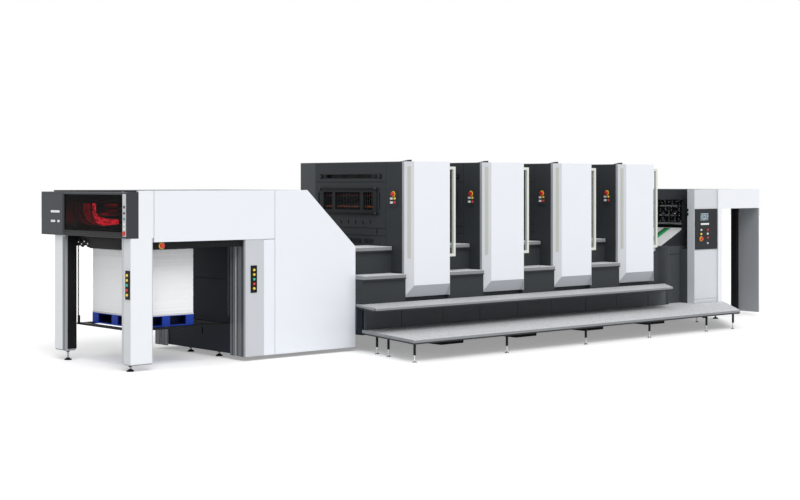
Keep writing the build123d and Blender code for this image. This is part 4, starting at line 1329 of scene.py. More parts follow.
@dataclass
class Towers:
    """The four printing towers with their covers, rails and buttons."""

    count: int = 4
    plate: float = 0.008
    lamp_drop: float = 0.046
    lamp_inset: float = 0.034
    cap: Size = (0.0355, 0.0255, 0.0125)
    roller: float = 0.052
    roller_ease: float = 0.004
    roller_gap: float = 0.0005
    roller_back: float = 0.09
    roller_heights: Span = (1.571, 1.702)
    guard_ends: Span = (0.081, 1.127)
    guard_edges: Span = (1.494, 1.779)
    guard_reach: float = 0.015
    bar: Span = (0.017, 0.011)
    bar_overhang: float = 0.07
    knob: Profile = ((0.016, 0), (0.016, 0.014), (0.01, 0.02))
    knob_inset: float = 0.012
    windows: tuple[Span, ...] = ((0.151, 0.321), (0.371, 0.837), (0.887, 1.057))
    grille: Span = (1.146, 1.197)
    grille_pitch: float = 0.024
    slat: Span = (0.009, 0.006)
    slat_lap: float = 0.002
    slat_back: float = 0.008
    slot_height: float = 1.922
    slot_ends: Span = (0.18, 1.028)
    divider: Size = (0.012, 0.05, 0.012)
    divider_shares: tuple[float, ...] = (0.08, 0.36, 0.68)
    divider_back: float = 0.014
    fillers: Span = (0.1, 0.044)
    filler_depth: float = 0.002
    latch: Size = (0.05, 0.062, 0.005)
    latch_leads: Span = (0.15, 0.087)
    pin: Profile = ((0.011, 0), (0.011, 0.009), (0.007, 0.011))
    pin_seat: float = 0.004

    def build(self) -> None:
        """Dress the towers and add their rollers, fittings and button caps."""
        towers = [f"unit_{n}_tower" for n in range(1, self.count + 1)]
        faces = [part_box(tower)[0].x for tower in towers]
        dress(PAINTS.tower, *towers)
        dress(PAINTS.drive, "drive_covers")
        dress(PAINTS.charcoal, "tower_lugs", "button_stations")
        dress(PAINTS.cover, *[f"unit_{n}_cover" for n in range(1, self.count + 1)])
        dress(PAINTS.guard, "roller_guards")
        dress(PAINTS.rail, "grab_rails")
        dress(PAINTS.grip, "cover_grips")
        self.rollers(faces)
        self.guard_bars(faces)
        self.grilles(faces)
        self.slot_fittings(faces)
        self.buttons(faces)

    def rollers(self, faces: Sequence[float]) -> None:
        """Turn two smooth inked rollers with eased ends behind each guard.

        Args:
            faces: Where the front of each tower is along X.
        """
        start, end = self.guard_ends
        length = end - start
        neck = self.roller - self.roller_ease
        profile = [(neck, self.roller_gap), (self.roller, self.roller_ease),
                   (self.roller, length - self.roller_ease), (neck, length - self.roller_gap)]
        shells = [turned(profile, Facing.BACK, (face + self.roller_back, start, z), sides=40)
                  for face in faces for z in self.roller_heights]
        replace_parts(make_piece("inked_rollers", shells, PAINTS.rubber), "ink_rollers")

    def guard_bars(self, faces: Sequence[float]) -> None:
        """Put a round-ended bar with end knobs along the top and foot of each guard.

        Args:
            faces: Where the front of each tower is along X.
        """
        start, end = self.guard_ends
        size = (end - start + self.bar_overhang, *self.bar)
        bars, knobs = [], []
        for face in faces:
            x = face - self.guard_reach
            for z in self.guard_edges:
                middle = (x, (start + end) / 2, z)
                bars.append(slab(size, Facing.LEFT, middle, corner=0.008, edge=0.003))
                knobs += [turned(self.knob, Facing.LEFT, (x, y, z), sides=10)
                          for y in (start + self.knob_inset, end - self.knob_inset)]
        make_piece("guard_rails", bars, PAINTS.black)
        make_piece("guard_knobs", knobs, PAINTS.dark_steel)

    def grilles(self, faces: Sequence[float]) -> None:
        """Fill the low vents with upright slats at an even pitch.

        Args:
            faces: Where the front of each tower is along X.
        """
        low, high = self.grille
        width, depth = self.slat
        size = (width, high - low + self.slat_lap, depth)
        slats = []
        for start, end in self.windows:
            for y in np.arange(start + self.grille_pitch, end - self.grille_pitch / 2, self.grille_pitch):
                slats += [slab(size, Facing.LEFT, (face + self.slat_back, y, (low + high) / 2),
                               corner=0.002, edge=0.001, steps=2) for face in faces]
        make_piece("vent_slats", slats, PAINTS.charcoal)

    def slot_fittings(self, faces: Sequence[float]) -> None:
        """Divide the upper slot, and close each end with a filler and a latch with a pin.

        Args:
            faces: Where the front of each tower is along X.
        """
        (start, end), z = self.slot_ends, self.slot_height
        first, last = self.fillers
        fillers = ((start - first / 2, first), (end + last / 2, last))
        latches = (start - self.latch_leads[0], end + self.latch_leads[1])
        plates, pins = [], []
        for face in faces:
            for share in self.divider_shares:
                place = (face + self.divider_back, start + share * (end - start), z)
                plates.append(slab(self.divider, Facing.LEFT, place, corner=0.002))
            for y, width in fillers:
                size = (width, self.divider[1], self.filler_depth)
                plates.append(slab(size, Facing.LEFT, (face, y, z), corner=0.003, edge=0.0005))
            for y in latches:
                plates.append(slab(self.latch, Facing.LEFT, (face, y, z), corner=0.006))
                pins.append(turned(self.pin, Facing.LEFT, (face - self.pin_seat, y, z), sides=12))
        make_piece("slot_plates", plates, PAINTS.black)
        make_piece("slot_pins", pins, PAINTS.dark_steel)

    def buttons(self, faces: Sequence[float]) -> None:
        """Cap each station: a stop above two lamps and two white keys.

        Args:
            faces: Where the front of each tower is along X.
        """
        low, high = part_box("button_stations")
        plates = [face - self.plate for face in faces]
        heights = [(low.z + high.z) / 2 - row * self.lamp_drop for row in range(2)]
        stops = [(x, (low.y + high.y) / 2, high.z - self.lamp_drop) for x in plates]
        StopButton().fit(("station_collars", "station_stop_heads"), Facing.LEFT, stops)
        for name, z, finish in zip(("station_upper_lamps", "station_lower_lamps"), heights,
                                   (PAINTS.lamp_yellow, PAINTS.lamp_red)):
            lamps = [RoundLamp().shell(Facing.LEFT, (x, low.y + self.lamp_inset, z)) for x in plates]
            make_piece(name, lamps, finish)
        keys = [slab(self.cap, Facing.LEFT, (x, high.y - self.lamp_inset, z))
                for x in plates for z in heights]
        make_piece("station_keys", keys, PAINTS.key)


@dataclass
class Walkway:
    """Base, steps, running board, platform and the legs under it."""

    tip_set: float = 0.012
    return_wall: float = 0.006
    return_end: float = 0.005
    thread: float = 0.006
    thread_depth: float = 0.0012
    rod: float = 0.0125
    rod_ease: float = 0.0012
    rod_lap: float = 0.004
    rod_gap: float = 0.001
    screw: float = 0.0075
    screw_foot: float = 0.01
    screw_top: float = 0.082
    shoe: float = 0.0245
    shoe_rings: Profile = ((1.0, 0), (1.0, 0.005), (0.7, 0.0095))
    shoe_neck: Span = (1.6, 0.014)
    foot: float = 0.038
    foot_rings: Profile = ((1.0, 0), (1.0, 0.008), (0.82, 0.013), (0.45, 0.021), (0.4, 0.026))
    foot_screw: float = 0.0115
    foot_screw_start: float = 0.024
    foot_screw_gap: float = 0.0005
    nut: Profile = ((0.018, 0.017), (0.02, 0.015), (0.02, 0.003), (0.018, 0.001))

    def build(self) -> None:
        """Dress the walkway, close its end, and turn its legs and the levelling feet."""
        dress(PAINTS.tread, "walkway_platform")
        dress(PAINTS.step, "step_treads")
        dress(PAINTS.board_tread, "running_board")
        dress(PAINTS.charcoal, "step_blocks")
        dress(PAINTS.corner, "end_column")
        dress(replace(PAINTS.skirt, level=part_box("base_skirt")[0].y), "base_skirt")
        dress(PAINTS.navy, "machine_base")
        dress(PAINTS.iron, "floor_pads")
        self.close_end()
        self.turn_legs()
        self.turn_feet()

    def close_end(self) -> None:
        """Close the corner between the running board and the delivery.

        The tip is a three-cornered plate against the board's skew end, and the
        return a narrow upright plate from the skirt to the delivery's panel.
        """
        board_low, board_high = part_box("running_board")
        skirt_low, skirt_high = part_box("base_skirt")
        panel_low, panel_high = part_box("delivery_rear_panels")
        corner = (panel_high.x + SKIN, panel_low.y - SKIN)
        inner = skirt_low.x - SKIN
        tip = [(board_low.x - SKIN, board_low.y + self.tip_set), (inner, board_high.y), corner]
        turn = [(inner, skirt_low.y), (inner, skirt_low.y + self.return_wall), corner,
                (corner[0] - self.return_end, corner[1])]
        make_piece("running_board_tip", [upright(tip, board_low.z, board_high.z - SKIN)],
                   PAINTS.board_tread)
        make_piece("skirt_return", [upright(turn, skirt_low.z, skirt_high.z)],
                   PAINTS.skirt_end)

    def screw_profile(self, radius: float, start: float, stop: float) -> Profile:
        """Zigzag between the crest and the root of a thread.

        Args:
            radius: Radius of the crests.
            start: Height of the first crest.
            stop: Height that the thread stays under.

        Returns:
            Radius and height of each ring.
        """
        turns = np.arange(2 * int((stop - start) / self.thread))
        return list(zip(radius - self.thread_depth * (turns % 2), start + turns * self.thread / 2))

    def turn_legs(self) -> None:
        """Turn a rod, a threaded screw and a shoe at every leg of the platform.

        A ring of the shoe is a share of its radius, and the last one, round the
        screw, is a multiple of the screw's radius.
        """
        sleeve = self.rod + self.rod_ease
        screw = self.screw_profile(self.screw, self.screw_foot, self.screw_top)
        neck, neck_height = self.shoe_neck
        shoe = [(self.shoe * share, height) for share, height in self.shoe_rings]
        shoe.append((self.screw * neck, neck_height))
        rods, screws, shoes = [], [], []
        for x, y, top in stands("walkway_legs", self.shoe):
            rod = [(self.rod, self.screw_top - self.rod_lap), (sleeve, self.screw_top),
                   (sleeve, top - self.rod_gap)]
            rods.append(turned(rod, Facing.UP, (x, y, 0), sides=14))
            screws.append(turned(screw, Facing.UP, (x, y, 0), sides=12))
            shoes.append(turned(shoe, Facing.UP, (x, y, 0), sides=16))
        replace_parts(make_piece("leg_rods", rods, PAINTS.black), "walkway_legs")
        make_piece("leg_screws", screws, PAINTS.chrome)
        make_piece("leg_shoes", shoes, PAINTS.chrome)

    def turn_feet(self) -> None:
        """Turn a dished shoe, a threaded screw and a six-sided nut at every foot.

        A ring of the shoe is a share of its radius, and a ring of the nut lies
        a drop below the foot's top.
        """
        shoe = [(self.foot * share, height) for share, height in self.foot_rings]
        shoes, screws, nuts = [], [], []
        for x, y, top in stands("levelling_feet", self.foot):
            screw = self.screw_profile(self.foot_screw, self.foot_screw_start, top - self.foot_screw_gap)
            nut = [(radius, top - drop) for radius, drop in self.nut]
            shoes.append(turned(shoe, Facing.UP, (x, y, 0), sides=28))
            screws.append(turned(screw, Facing.UP, (x, y, 0), sides=14))
            nuts.append(turned(nut, Facing.UP, (x, y, 0), sides=6))
        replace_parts(make_piece("foot_shoes", shoes, PAINTS.black), "levelling_feet")
        make_piece("foot_screws", screws, PAINTS.steel)
        make_piece("foot_nuts", nuts, PAINTS.dark_steel)


@dataclass
class Delivery:
    """The delivery: housing, hood, posts, buttons and the gear inside it."""

    trim_depth: float = 0.003
    trim_gap: float = 0.02
    far_trim: Span = (0.026, 0.05)
    near_trim: Span = (0.016, 0.03)
    plate: float = 0.008
    lamp_order: tuple[str, ...] = ("lamp_yellow", "lamp_red", "lamp_green", "lamp_yellow", "lamp_yellow")
    lamp_rise: float = 0.044
    lamp_pitch: float = 0.048
    lamp_inset: float = 0.049
    column_lead: float = 0.115
    stop_lead: float = 0.115
    stop_drop: float = 0.038
    key: Size = (0.0385, 0.0245, 0.0075)
    key_seat: float = 0.0065
    key_lead: float = 0.081
    key_pitch: float = 0.047
    key_rows: tuple[tuple[float, tuple[int, ...]], ...] = ((0.246, (0, 1, 2, 3)), (0.146, (0, 2, 3)))
    switch: Span = (0.0145, 0.0072)
    switch_rises: tuple[float, ...] = (0.07, 0.118, 0.174, 0.228, 0.288)
    guide_start: Size = (-4.705, 0.8, 1.632)
    guide_turn: float = 0.13
    guide_level: float = 1.437
    guide_end: float = -4.425
    guide_points: tuple[int, int, int] = (6, 28, 8)
    guide_columns: int = 8
    guide_gap: float = 0.03
    guide_reach: float = 0.17
    guide_wall: float = 0.003
    lamp_tube: float = 0.018
    lamp_swell: float = 0.024
    swell_middle: float = 0.7
    swell_width: float = 0.26
    rim: float = 0.007
    rim_steps: Span = (0.25, 0.31)
    lit_plate: Size = (0.27, 0.1, 0.006)
    lit_plate_place: Size = (-4.395, 0.985, 1.578)
    lit_edge: Size = (0.16, 0.012, 0.004)
    lit_edge_place: Size = (-4.401, 0.95, 1.618)
    jogger_x: float = -4.812
    jogger_ends: Span = (0.04, 0.69)
    jogger_foot: float = 1.175
    jogger_wall: float = 0.022
    hanger: Size = (0.3, 0.045, 0.03)
    hanger_lead: float = 0.13
    jogger_wheels: tuple[Size, ...] = (
        (0.725, 1.222, 0.04), (0.795, 1.244, 0.028), (0.85, 1.216, 0.034), (0.92, 1.234, 0.04))
    wheel_ease: float = 0.004
    wheel_dish: float = 0.7
    hub: Profile = ((0.011, 0), (0.011, 0.004), (0.006, 0.008))
    hub_seat: float = 0.01
    arm: Span = (0.022, 0.016)

    def build(self) -> None:
        """Dress the housing and add what shows in and on it."""
        dress(PAINTS.white, "delivery_upper_panels", "delivery_rear_panels")
        dress(PAINTS.post, "delivery_near_post")
        dress(PAINTS.silver, "delivery_columns")
        dress(PAINTS.far_post, "delivery_far_post")
        dress(PAINTS.charcoal, "delivery_top_cover")
        dress(PAINTS.navy, "delivery_body", "delivery_upper_body")
        dress(PAINTS.black, "delivery_post_guides", "pile_buttons", "sheet_stops", "delivery_beams")
        dress(PAINTS.hood, "delivery_hood")
        dress(PAINTS.panel, "hood_key_panel")
        dress(PAINTS.strip, "hood_switch_strip")
        dress(PAINTS.glass, "delivery_window")
        dress(PAINTS.steel, "suction_roller", "gripper_wheels")
        self.post_trims()
        self.strip_lamps()
        self.hood_keys()
        self.hood_switches()
        self.lit_guide()
        self.joggers()

    def post_trims(self) -> None:
        """Face the inner edge of each front post with a thin strip, dark on the far one."""
        far_low, far_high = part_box("delivery_far_post")
        near_low, near_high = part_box("delivery_near_post")
        (far_inset, far_width), (near_inset, near_width) = self.far_trim, self.near_trim
        for name, low, high, y, width, finish in (
                ("far_post_trim", far_low, far_high, far_low.y + far_inset, far_width, PAINTS.trim),
                ("near_post_trim", near_low, near_high, near_high.y - near_inset, near_width,
                 PAINTS.pale_trim)):
            size = (width, high.z - low.z - self.trim_gap, self.trim_depth)
            strip = slab(size, Facing.LEFT, (low.x, y, (low.z + high.z) / 2), edge=0.001)
            make_piece(name, [strip], finish)

    def strip_lamps(self) -> None:
        """Cap the lamps of both button strips and the stop on the beam."""
        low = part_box("pile_buttons")[0]
        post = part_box("delivery_near_post")[0]
        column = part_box("delivery_columns")[0]
        groups: dict[str, list[Shell]] = {"lamp_yellow": [], "lamp_green": [], "lamp_red": []}
        for i, kind in enumerate(self.lamp_order):
            z = low.z + self.lamp_rise + i * self.lamp_pitch
            on_post = (post.x - self.plate, post.y + self.lamp_inset, z)
            on_column = (column.x + self.column_lead, post.y, z)
            groups[kind].append(RoundLamp().shell(Facing.LEFT, on_post))
            groups[kind].append(RoundLamp().shell(Facing.FRONT, on_column))
        for kind, shells in groups.items():
            make_piece(f"strip_{kind}", shells, getattr(PAINTS, kind))
        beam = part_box("delivery_beams")[0]
        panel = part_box("delivery_upper_panels")[0]
        stop = (panel.x + self.stop_lead, beam.y, panel.z - self.stop_drop)
        StopButton().fit(("beam_stop_collar", "beam_stop_head"), Facing.FRONT, [stop])

    def hood_keys(self) -> None:
        """Cap the two rows of keys on the hood's panel."""
        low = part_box("hood_key_panel")[0]
        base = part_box("delivery_hood")[0].z
        places = [(low.x + self.key_seat, low.y + self.key_lead + column * self.key_pitch, base + rise)
                  for rise, columns in self.key_rows for column in columns]
        keys = [slab(self.key, Facing.LEFT, place) for place in places]
        make_piece("hood_keys", keys, PAINTS.key)

    def hood_switches(self) -> None:
        """Cap the switches on the hood's near strip."""
        low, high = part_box("hood_switch_strip")
        finishes = (PAINTS.key, PAINTS.key, PAINTS.teal, PAINTS.black, PAINTS.black)
        for i, (rise, finish) in enumerate(zip(self.switch_rises, finishes), 1):
            place = (low.x + self.plate, (low.y + high.y) / 2, low.z + rise)
            cap = RoundLamp(*self.switch).shell(Facing.LEFT, place)
            make_piece(f"hood_switch_{i}", [cap], finish)

    def guide_path(self, wider: float, y: float) -> Array:
        """Give the guide's line: down, round a quarter circle, and out level.

        Args:
            wider: Amount by which the line lies outside the lamp's own line.
            y: Place across the press.

        Returns:
            The points of the line.
        """
        start, _, top = self.guide_start
        x = start - wider
        radius = self.guide_turn + wider
        level = self.guide_level - wider
        down_points, turn_points, out_points = self.guide_points
        angle = np.linspace(np.pi, 1.5 * np.pi, turn_points)
        down = np.linspace(top, level + radius, down_points)[:-1]
        out = np.linspace(x + radius, self.guide_end, out_points)[1:]
        along = np.concatenate([np.full_like(down, x), x + radius * (1 + np.cos(angle)), out])
        height = np.concatenate([down, level + radius * (1 + np.sin(angle)), np.full_like(out, level)])
        return np.stack([along, np.full_like(along, y), height], -1)

    def lit_guide(self) -> None:
        """Hang the red lamp, and a guide, the rims beyond it and a plate that glow with painted red light.

        The lamp is a tube along the guide's line that swells by a bell curve.
        The guide is the same line carried away from the operator, and each rim
        a thin tube.
        """
        y = self.guide_start[1]
        path = self.guide_path(0.0, y)
        run = np.linspace(0, 1, len(path))
        swell = np.exp(-((run - self.swell_middle) / self.swell_width) ** 2)
        lamp = swept(path, self.lamp_tube + self.lamp_swell * swell, sides=16)
        make_piece("red_lamp", [lamp], PAINTS.glow)
        # Painted light: the guide, rims, plate and edge below glow as if lit by the red lamp.
        across = np.linspace(y + self.guide_gap, y + self.guide_reach, self.guide_columns)
        points = np.repeat(self.guide_path(self.guide_gap, y)[:, None], len(across), 1)
        points[..., 1] = across
        thicken(make_piece("red_lit_guide", [lattice(points)], PAINTS.painted_red_light), self.guide_wall)
        rims = [swept(self.guide_path(self.guide_gap, y + step), self.rim) for step in self.rim_steps]
        make_piece("red_lit_rims", rims, PAINTS.painted_faint_red_light)
        plate = slab(self.lit_plate, Facing.LEFT, self.lit_plate_place)
        make_piece("red_lit_plate", [plate], PAINTS.painted_faint_red_light)
        line = slab(self.lit_edge, Facing.LEFT, self.lit_edge_place, corner=0.005)
        make_piece("red_lit_edge", [line], PAINTS.painted_red_light)

    def joggers(self) -> None:
        """Hang the jogging bar and its wheels from the floor of the upper body."""
        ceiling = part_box("delivery_upper_body")[0].z
        start, end = self.jogger_ends
        x, wall = self.jogger_x, self.jogger_wall
        middle = x + wall / 2
        depth = ceiling - self.jogger_foot
        hanger_place = (x + self.hanger[2], end + self.hanger_lead, ceiling - self.hanger[1] / 2)
        frame_bars = [slab((end - start, depth, wall), Facing.LEFT,
                           (middle, (start + end) / 2, ceiling - depth / 2), corner=0.006),
                      slab(self.hanger, Facing.LEFT, hanger_place, corner=0.006)]
        wheels, hubs = [], []
        for y, z, radius in self.jogger_wheels:
            dish = radius * self.wheel_dish
            tyre = [(dish, 0), (radius, self.wheel_ease), (radius, wall - self.wheel_ease), (dish, wall)]
            wheels.append(turned(tyre, Facing.LEFT, (middle, y, z)))
            hubs.append(turned(self.hub, Facing.LEFT, (x - self.hub_seat, y, z), sides=12))
            frame_bars.append(slab((*self.arm, ceiling - z), Facing.UP, (x + wall, y, z)))
        make_piece("jogger_bar", frame_bars, PAINTS.black)
        make_piece("jogger_wheels", wheels, PAINTS.black)
        make_piece("jogger_hubs", hubs, PAINTS.chrome)


@dataclass
class Pile:
    """The sheets on their pallet, with the carrier and its chains."""

    layers: int = 110
    stray: float = 0.0012
    far_stray: float = 0.1
    sheet_corner: float = 0.002
    chain_half: float = 0.007
    link: float = 0.0254
    link_plate: Size = (0.0115, 0.034544, 0.0013)
    link_gap: float = 0.0055
    link_nest: float = 0.0015
    link_shift: float = 0.0007
    pin: Profile = ((0.0038, 0), (0.0038, 0.0124))
    bracket: Size = (0.024, 0.016, 0.075)
    bolt: Profile = ((0.006, 0), (0.006, 0.004), (0.004, 0.005))
    bolt_rise: float = 0.7
    seed: int = 7

    def build(self) -> None:
        """Dress the pile and add its sheets, chain links and brackets."""
        low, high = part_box("pallet")
        dress(replace(PAINTS.pallet, low=tuple(low), high=tuple(high)), "pallet")
        dress(PAINTS.black, "pile_board")
        self.lay_sheets()
        self.join_links()
        self.fit_brackets()

    def lay_sheets(self) -> None:
        """Carry the sheet's outline up the pile, each layer a little astray.

        A layer has two rings of the same outline, so its edge is upright, and
        the next layer is moved by a small seeded amount both ways.
        """
        low, high = (np.array(corner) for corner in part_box("paper_stack"))
        rng = np.random.default_rng(self.seed)
        width, depth = (high - low)[:2] - 4 * self.stray
        outline = rounded_outline(width, depth, self.sheet_corner, steps=2)
        shift = rng.uniform(-self.stray, self.stray, (self.layers, 2))
        shift[rng.random(self.layers) < self.far_stray] *= 2
        edges = np.linspace(low[2], high[2], self.layers + 1)
        heights = np.stack([edges[:-1], edges[1:]], 1).ravel()
        flat = outline[None] + np.repeat(shift, 2, 0)[:, None] + (low + high)[:2] / 2
        tall = np.broadcast_to(heights[:, None, None], (*flat.shape[:2], 1))
        sheets = make_piece("paper_sheets", [rings(np.concatenate([flat, tall], -1))],
                            PAINTS.paper, Body.PILE, sharp=20.0)
        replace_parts(sheets, "paper_stack")

    def join_links(self) -> None:
        """Make each chain of links: two round-ended plates and a pin.

        Links repeat up the chain, and every second one is narrower.
        """
        low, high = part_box("hoist_chains")
        half = self.chain_half
        corners = [(x, y) for x in (low.x + half, high.x - half) for y in (low.y + half, high.y - half)]
        shells = []
        for x, y in corners:
            for i in range(int((high.z - low.z) / self.link)):
                z = low.z + (i + 0.5) * self.link
                gap = self.link_gap - self.link_nest * (i % 2)
                shells += [slab(self.link_plate, Facing.LEFT, (x + side * gap + self.link_shift, y, z),
                                corner=0.0055, edge=0.0002, steps=3) for side in (-1, 1)]
                end = self.pin[1][1] / 2
                shells.append(turned(self.pin, Facing.LEFT, (x + end, y, z + self.link / 2), sides=8))
        chains = make_piece("hoist_links", shells, PAINTS.dark_steel, Body.PILE)
        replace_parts(chains, "hoist_chains")

    def fit_brackets(self) -> None:
        """Stand a chain bracket with a clamping bolt on each corner of the carrier."""
        low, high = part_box("hoist_chains")
        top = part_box("pile_board")[1].z
        width, depth, height = self.bracket
        sides = ((low.y + depth, -depth, Facing.FRONT, (width, height, depth)),
                 (high.y - depth, depth, Facing.BACK, (height, width, depth)))
        blocks, bolts = [], []
        for x in (low.x + width / 2, high.x - width / 2):
            for y, out, facing, size in sides:
                blocks.append(slab(size, facing, (x, y, top + height / 2), corner=0.003, edge=0.001))
                bolts.append(turned(self.bolt, facing, (x, y + out, top + self.bolt_rise * height), sides=6))
        make_piece("carrier_brackets", blocks, PAINTS.black, Body.PILE)
        make_piece("bracket_bolts", bolts, PAINTS.dark_steel, Body.PILE)


@dataclass
class Feeder:
    """Infeed, feeder portal, cabinet and control console."""

    console_seat: float = 0.011
    screen: Size = (0.171, 0.097, 0.003)
    screen_place: Size = (0.1975, 0.004, 0.1055)
    key: Size = (0.0348, 0.0248, 0.0122)
    key_place: Span = (0.127, 0.202)
    key_pitch: float = 0.045
    key_count: int = 4
    lamp_radius: float = 0.0142
    stop_place: Span = (0.121, 0.4)
    board_depth: float = 0.03
    tape_width: float = 0.105
    tape_places: Span = (-0.055, 1.2)
    tape_run: Span = (0.02, 0.98)
    tape_lift: float = 0.002
    tape_wall: float = 0.0015
    tape_points: int = 16
    head_inset: float = 0.03
    shafts: tuple[Size, ...] = ((3.7, 1.405, 0.011), (3.715, 1.535, 0.015))
    brackets: int = 5
    bracket_inset: float = 0.02
    bracket_width: float = 0.026
    bracket_height: float = 3.2
    sucker: Profile = ((0.017, -0.085), (0.019, -0.08), (0.011, -0.062), (0.009, -0.058), (0.009, 0.04),
                       (0.013, 0.044), (0.013, 0.06))
    sucker_pitch: float = 0.1
    sucker_inset: Span = (0.06, 0.04)
    sucker_lead: float = 0.022
    nut: Profile = ((0.014, 0.0), (0.014, 0.012))
    nut_rise: float = 0.02
    bolt_rows: tuple[float, ...] = (1.33, 1.365, 1.435, 1.47, 1.505, 1.57, 1.6, 1.63)
    bolt_pitch: float = 0.062
    bolt_stray: Span = (0.018, 0.012)
    bolt_sizes: Span = (0.006, 0.013)
    bolt_crown: Span = (0.7, 1.2)
    curtain: Span = (0.125, 0.007)
    curtain_drop: float = 0.04
    rule: Span = (0.018, 0.008)
    rule_place: Span = (0.006, 0.008)
    hinge: Profile = ((0.006, 0), (0.009, 0.002), (0.009, 0.034), (0.006, 0.036))
    hinge_place: Span = (0.008, 0.014)
    hinge_heights: Span = (1.41, 1.466)
    seed: int = 3

    def build(self) -> None:
        """Dress the feeder and add the console's fittings, tapes and sheet head."""
        dress(PAINTS.post, "feeder_columns", "feeder_headers")
        dress(PAINTS.cabinet, "control_cabinet")
        dress(replace(PAINTS.infeed, level=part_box("infeed_frames")[0].y), "infeed_frames")
        dress(PAINTS.charcoal, "feeder_roof")
        dress(PAINTS.wall, "feeder_front_wall")
        dress(PAINTS.console, "control_console")
        dress(PAINTS.navy, "infeed_body")
        dress(PAINTS.black, "feeder_guide_posts", "feeder_head")
        dress(PAINTS.end_grey, "feeder_end_panels")
        dress(PAINTS.board, "feed_board")
        dress(PAINTS.steel, "infeed_rollers")
        self.console()
        self.tapes()
        self.sheet_head()
        self.hinges()

    def console(self) -> None:
        """Fit the screen, the key caps, the lamps and the stop.

        Places on the console are measured across from its left edge and down
        from its top.
        """
        low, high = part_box("control_console")
        face = low.y + self.console_seat
        across, back, down = self.screen_place
        screen = slab(self.screen, Facing.FRONT, (low.x + across, face + back, high.z - down))
        make_piece("console_screen", [screen], PAINTS.screen)
        across, down = self.key_place
        keys = [slab(self.key, Facing.FRONT, (low.x + across + i * self.key_pitch, face, high.z - down))
                for i in range(self.key_count)]
        make_piece("console_keys", keys, PAINTS.key)
        lamp = RoundLamp(self.lamp_radius, self.key[2])
        for name, finish, places in (
                ("console_white_lamps", PAINTS.key, ((0.121, 0.281), (0.26, 0.335))),
                ("console_red_lamps", PAINTS.lamp_red, ((0.26, 0.281), (0.26, 0.386))),
                ("console_yellow_lamp", PAINTS.lamp_yellow, ((0.121, 0.335),)),
                ("console_grey_lamp", PAINTS.cabinet, ((0.26, 0.46),))):
            caps = [lamp.shell(Facing.FRONT, (low.x + across, face, high.z - down))
                    for across, down in places]
            make_piece(name, caps, finish)
        across, down = self.stop_place
        stop = (low.x + across, face, high.z - down)
        StopButton().fit(("console_stop_collar", "console_stop_head"), Facing.FRONT, [stop])

    def tapes(self) -> None:
        """Lay the green feed tapes along the slope of the feed board.

        A flat band is carried up the board's slope, a little above its face.
        """
        low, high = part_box("feed_board")
        run = np.linspace(*self.tape_run, self.tape_points)
        x = low.x + run * (high.x - low.x)
        z = low.z + self.board_depth + run * (high.z - low.z - self.board_depth) + self.tape_lift
        line = np.repeat(np.stack([x, np.zeros_like(x), z], -1)[:, None], 2, 1)
        shells = []
        for y in self.tape_places:
            points = line.copy()
            points[..., 1] = (y + self.tape_width, y)
            shells.append(lattice(points))
        thicken(make_piece("feed_tapes", shells, PAINTS.green), self.tape_wall)

    def sheet_head(self) -> None:
        """Fit shafts, suckers, brackets and bolts to the front of the sheet head."""
        low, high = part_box("feeder_head")
        start, end = low.y + self.head_inset, high.y - self.head_inset
        shafts, brackets = [], []
        for x, z, radius in self.shafts:
            shafts.append(turned([(radius, 0), (radius, end - start)], Facing.BACK, (x, start, z), sides=16))
            size = (self.bracket_width, self.bracket_height * radius, low.x - x + radius)
            brackets += [slab(size, Facing.LEFT, (low.x, y, z)) for y in
                         np.linspace(start + self.bracket_inset, end - self.bracket_inset, self.brackets)]
        suckers, bolts = self.head_gear(low.x, start, end)
        make_piece("sheet_head_shafts", shafts, PAINTS.steel)
        make_piece("sheet_head_brackets", brackets, PAINTS.black)
        make_piece("sheet_head_suckers", suckers, PAINTS.dark_steel)
        make_piece("sheet_head_bolts", bolts, PAINTS.chrome)
        curtain = slab((high.y - low.y, *self.curtain), Facing.LEFT,
                       (low.x, (low.y + high.y) / 2, low.z - self.curtain_drop))
        make_piece("sheet_head_curtain", [curtain], PAINTS.black)
        out, rise = self.rule_place
        rule = slab((end - start, *self.rule), Facing.LEFT, (low.x - out, (start + end) / 2, low.z + rise))
        make_piece("sheet_head_rule", [rule], PAINTS.chrome)

    def head_gear(self, face: float, start: float, end: float) -> tuple[list[Shell], list[Shell]]:
        """Turn the suckers with their nuts, and scatter bolts over the head's front.

        Args:
            face: Where the front is along X.
            start: Near end of the gear along Y.
            end: Far end of the gear along Y.

        Returns:
            The suckers, and the nuts and bolts.
        """
        rng = np.random.default_rng(self.seed)
        suckers, bolts = [], []
        shaft_x, shaft_z, _ = self.shafts[0]
        x = shaft_x - self.sucker_lead
        first, last = self.sucker_inset
        for y in np.arange(start + first, end - last, self.sucker_pitch):
            suckers.append(turned(self.sucker, Facing.UP, (x, y, shaft_z), sides=12))
            bolts.append(turned(self.nut, Facing.UP, (x, y, shaft_z + self.nut_rise), sides=6))
        stray_y, stray_z = self.bolt_stray
        crown, crown_height = self.bolt_crown
        for z in self.bolt_rows:
            for y in np.arange(start + self.head_inset, end, self.bolt_pitch):
                place = (face, y + rng.uniform(-stray_y, stray_y), z + rng.uniform(-stray_z, stray_z))
                size = rng.uniform(*self.bolt_sizes)
                profile = [(size, 0), (size, size), (size * crown, size * crown_height)]
                bolts.append(turned(profile, Facing.LEFT, place, sides=6))
        return suckers, bolts

    def hinges(self) -> None:
        """Turn two hinge knuckles on the cabinet's left face."""
        low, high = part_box("control_cabinet")
        x, y = low.x - self.hinge_place[0], high.y - self.hinge_place[1]
        pins = [turned(self.hinge, Facing.UP, (x, y, z), sides=14) for z in self.hinge_heights]
        make_piece("cabinet_hinges", pins, PAINTS.black)


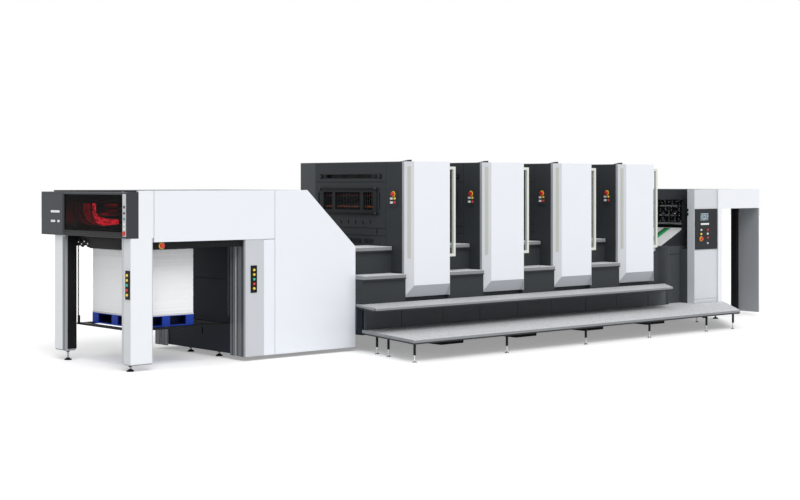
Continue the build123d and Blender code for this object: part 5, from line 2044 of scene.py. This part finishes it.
def main() -> None:
    """Build the studio and every sub-assembly."""
    logging.basicConfig(level=logging.INFO, format="%(message)s")
    bpy.context.scene.view_settings.view_transform = "Standard"
    for assembly in (Studio(), Towers(), Walkway(), Delivery(), Pile(), Feeder()):
        LOG.info("building %s", type(assembly).__name__)
        assembly.build()


if __name__ == "__main__":
    main()
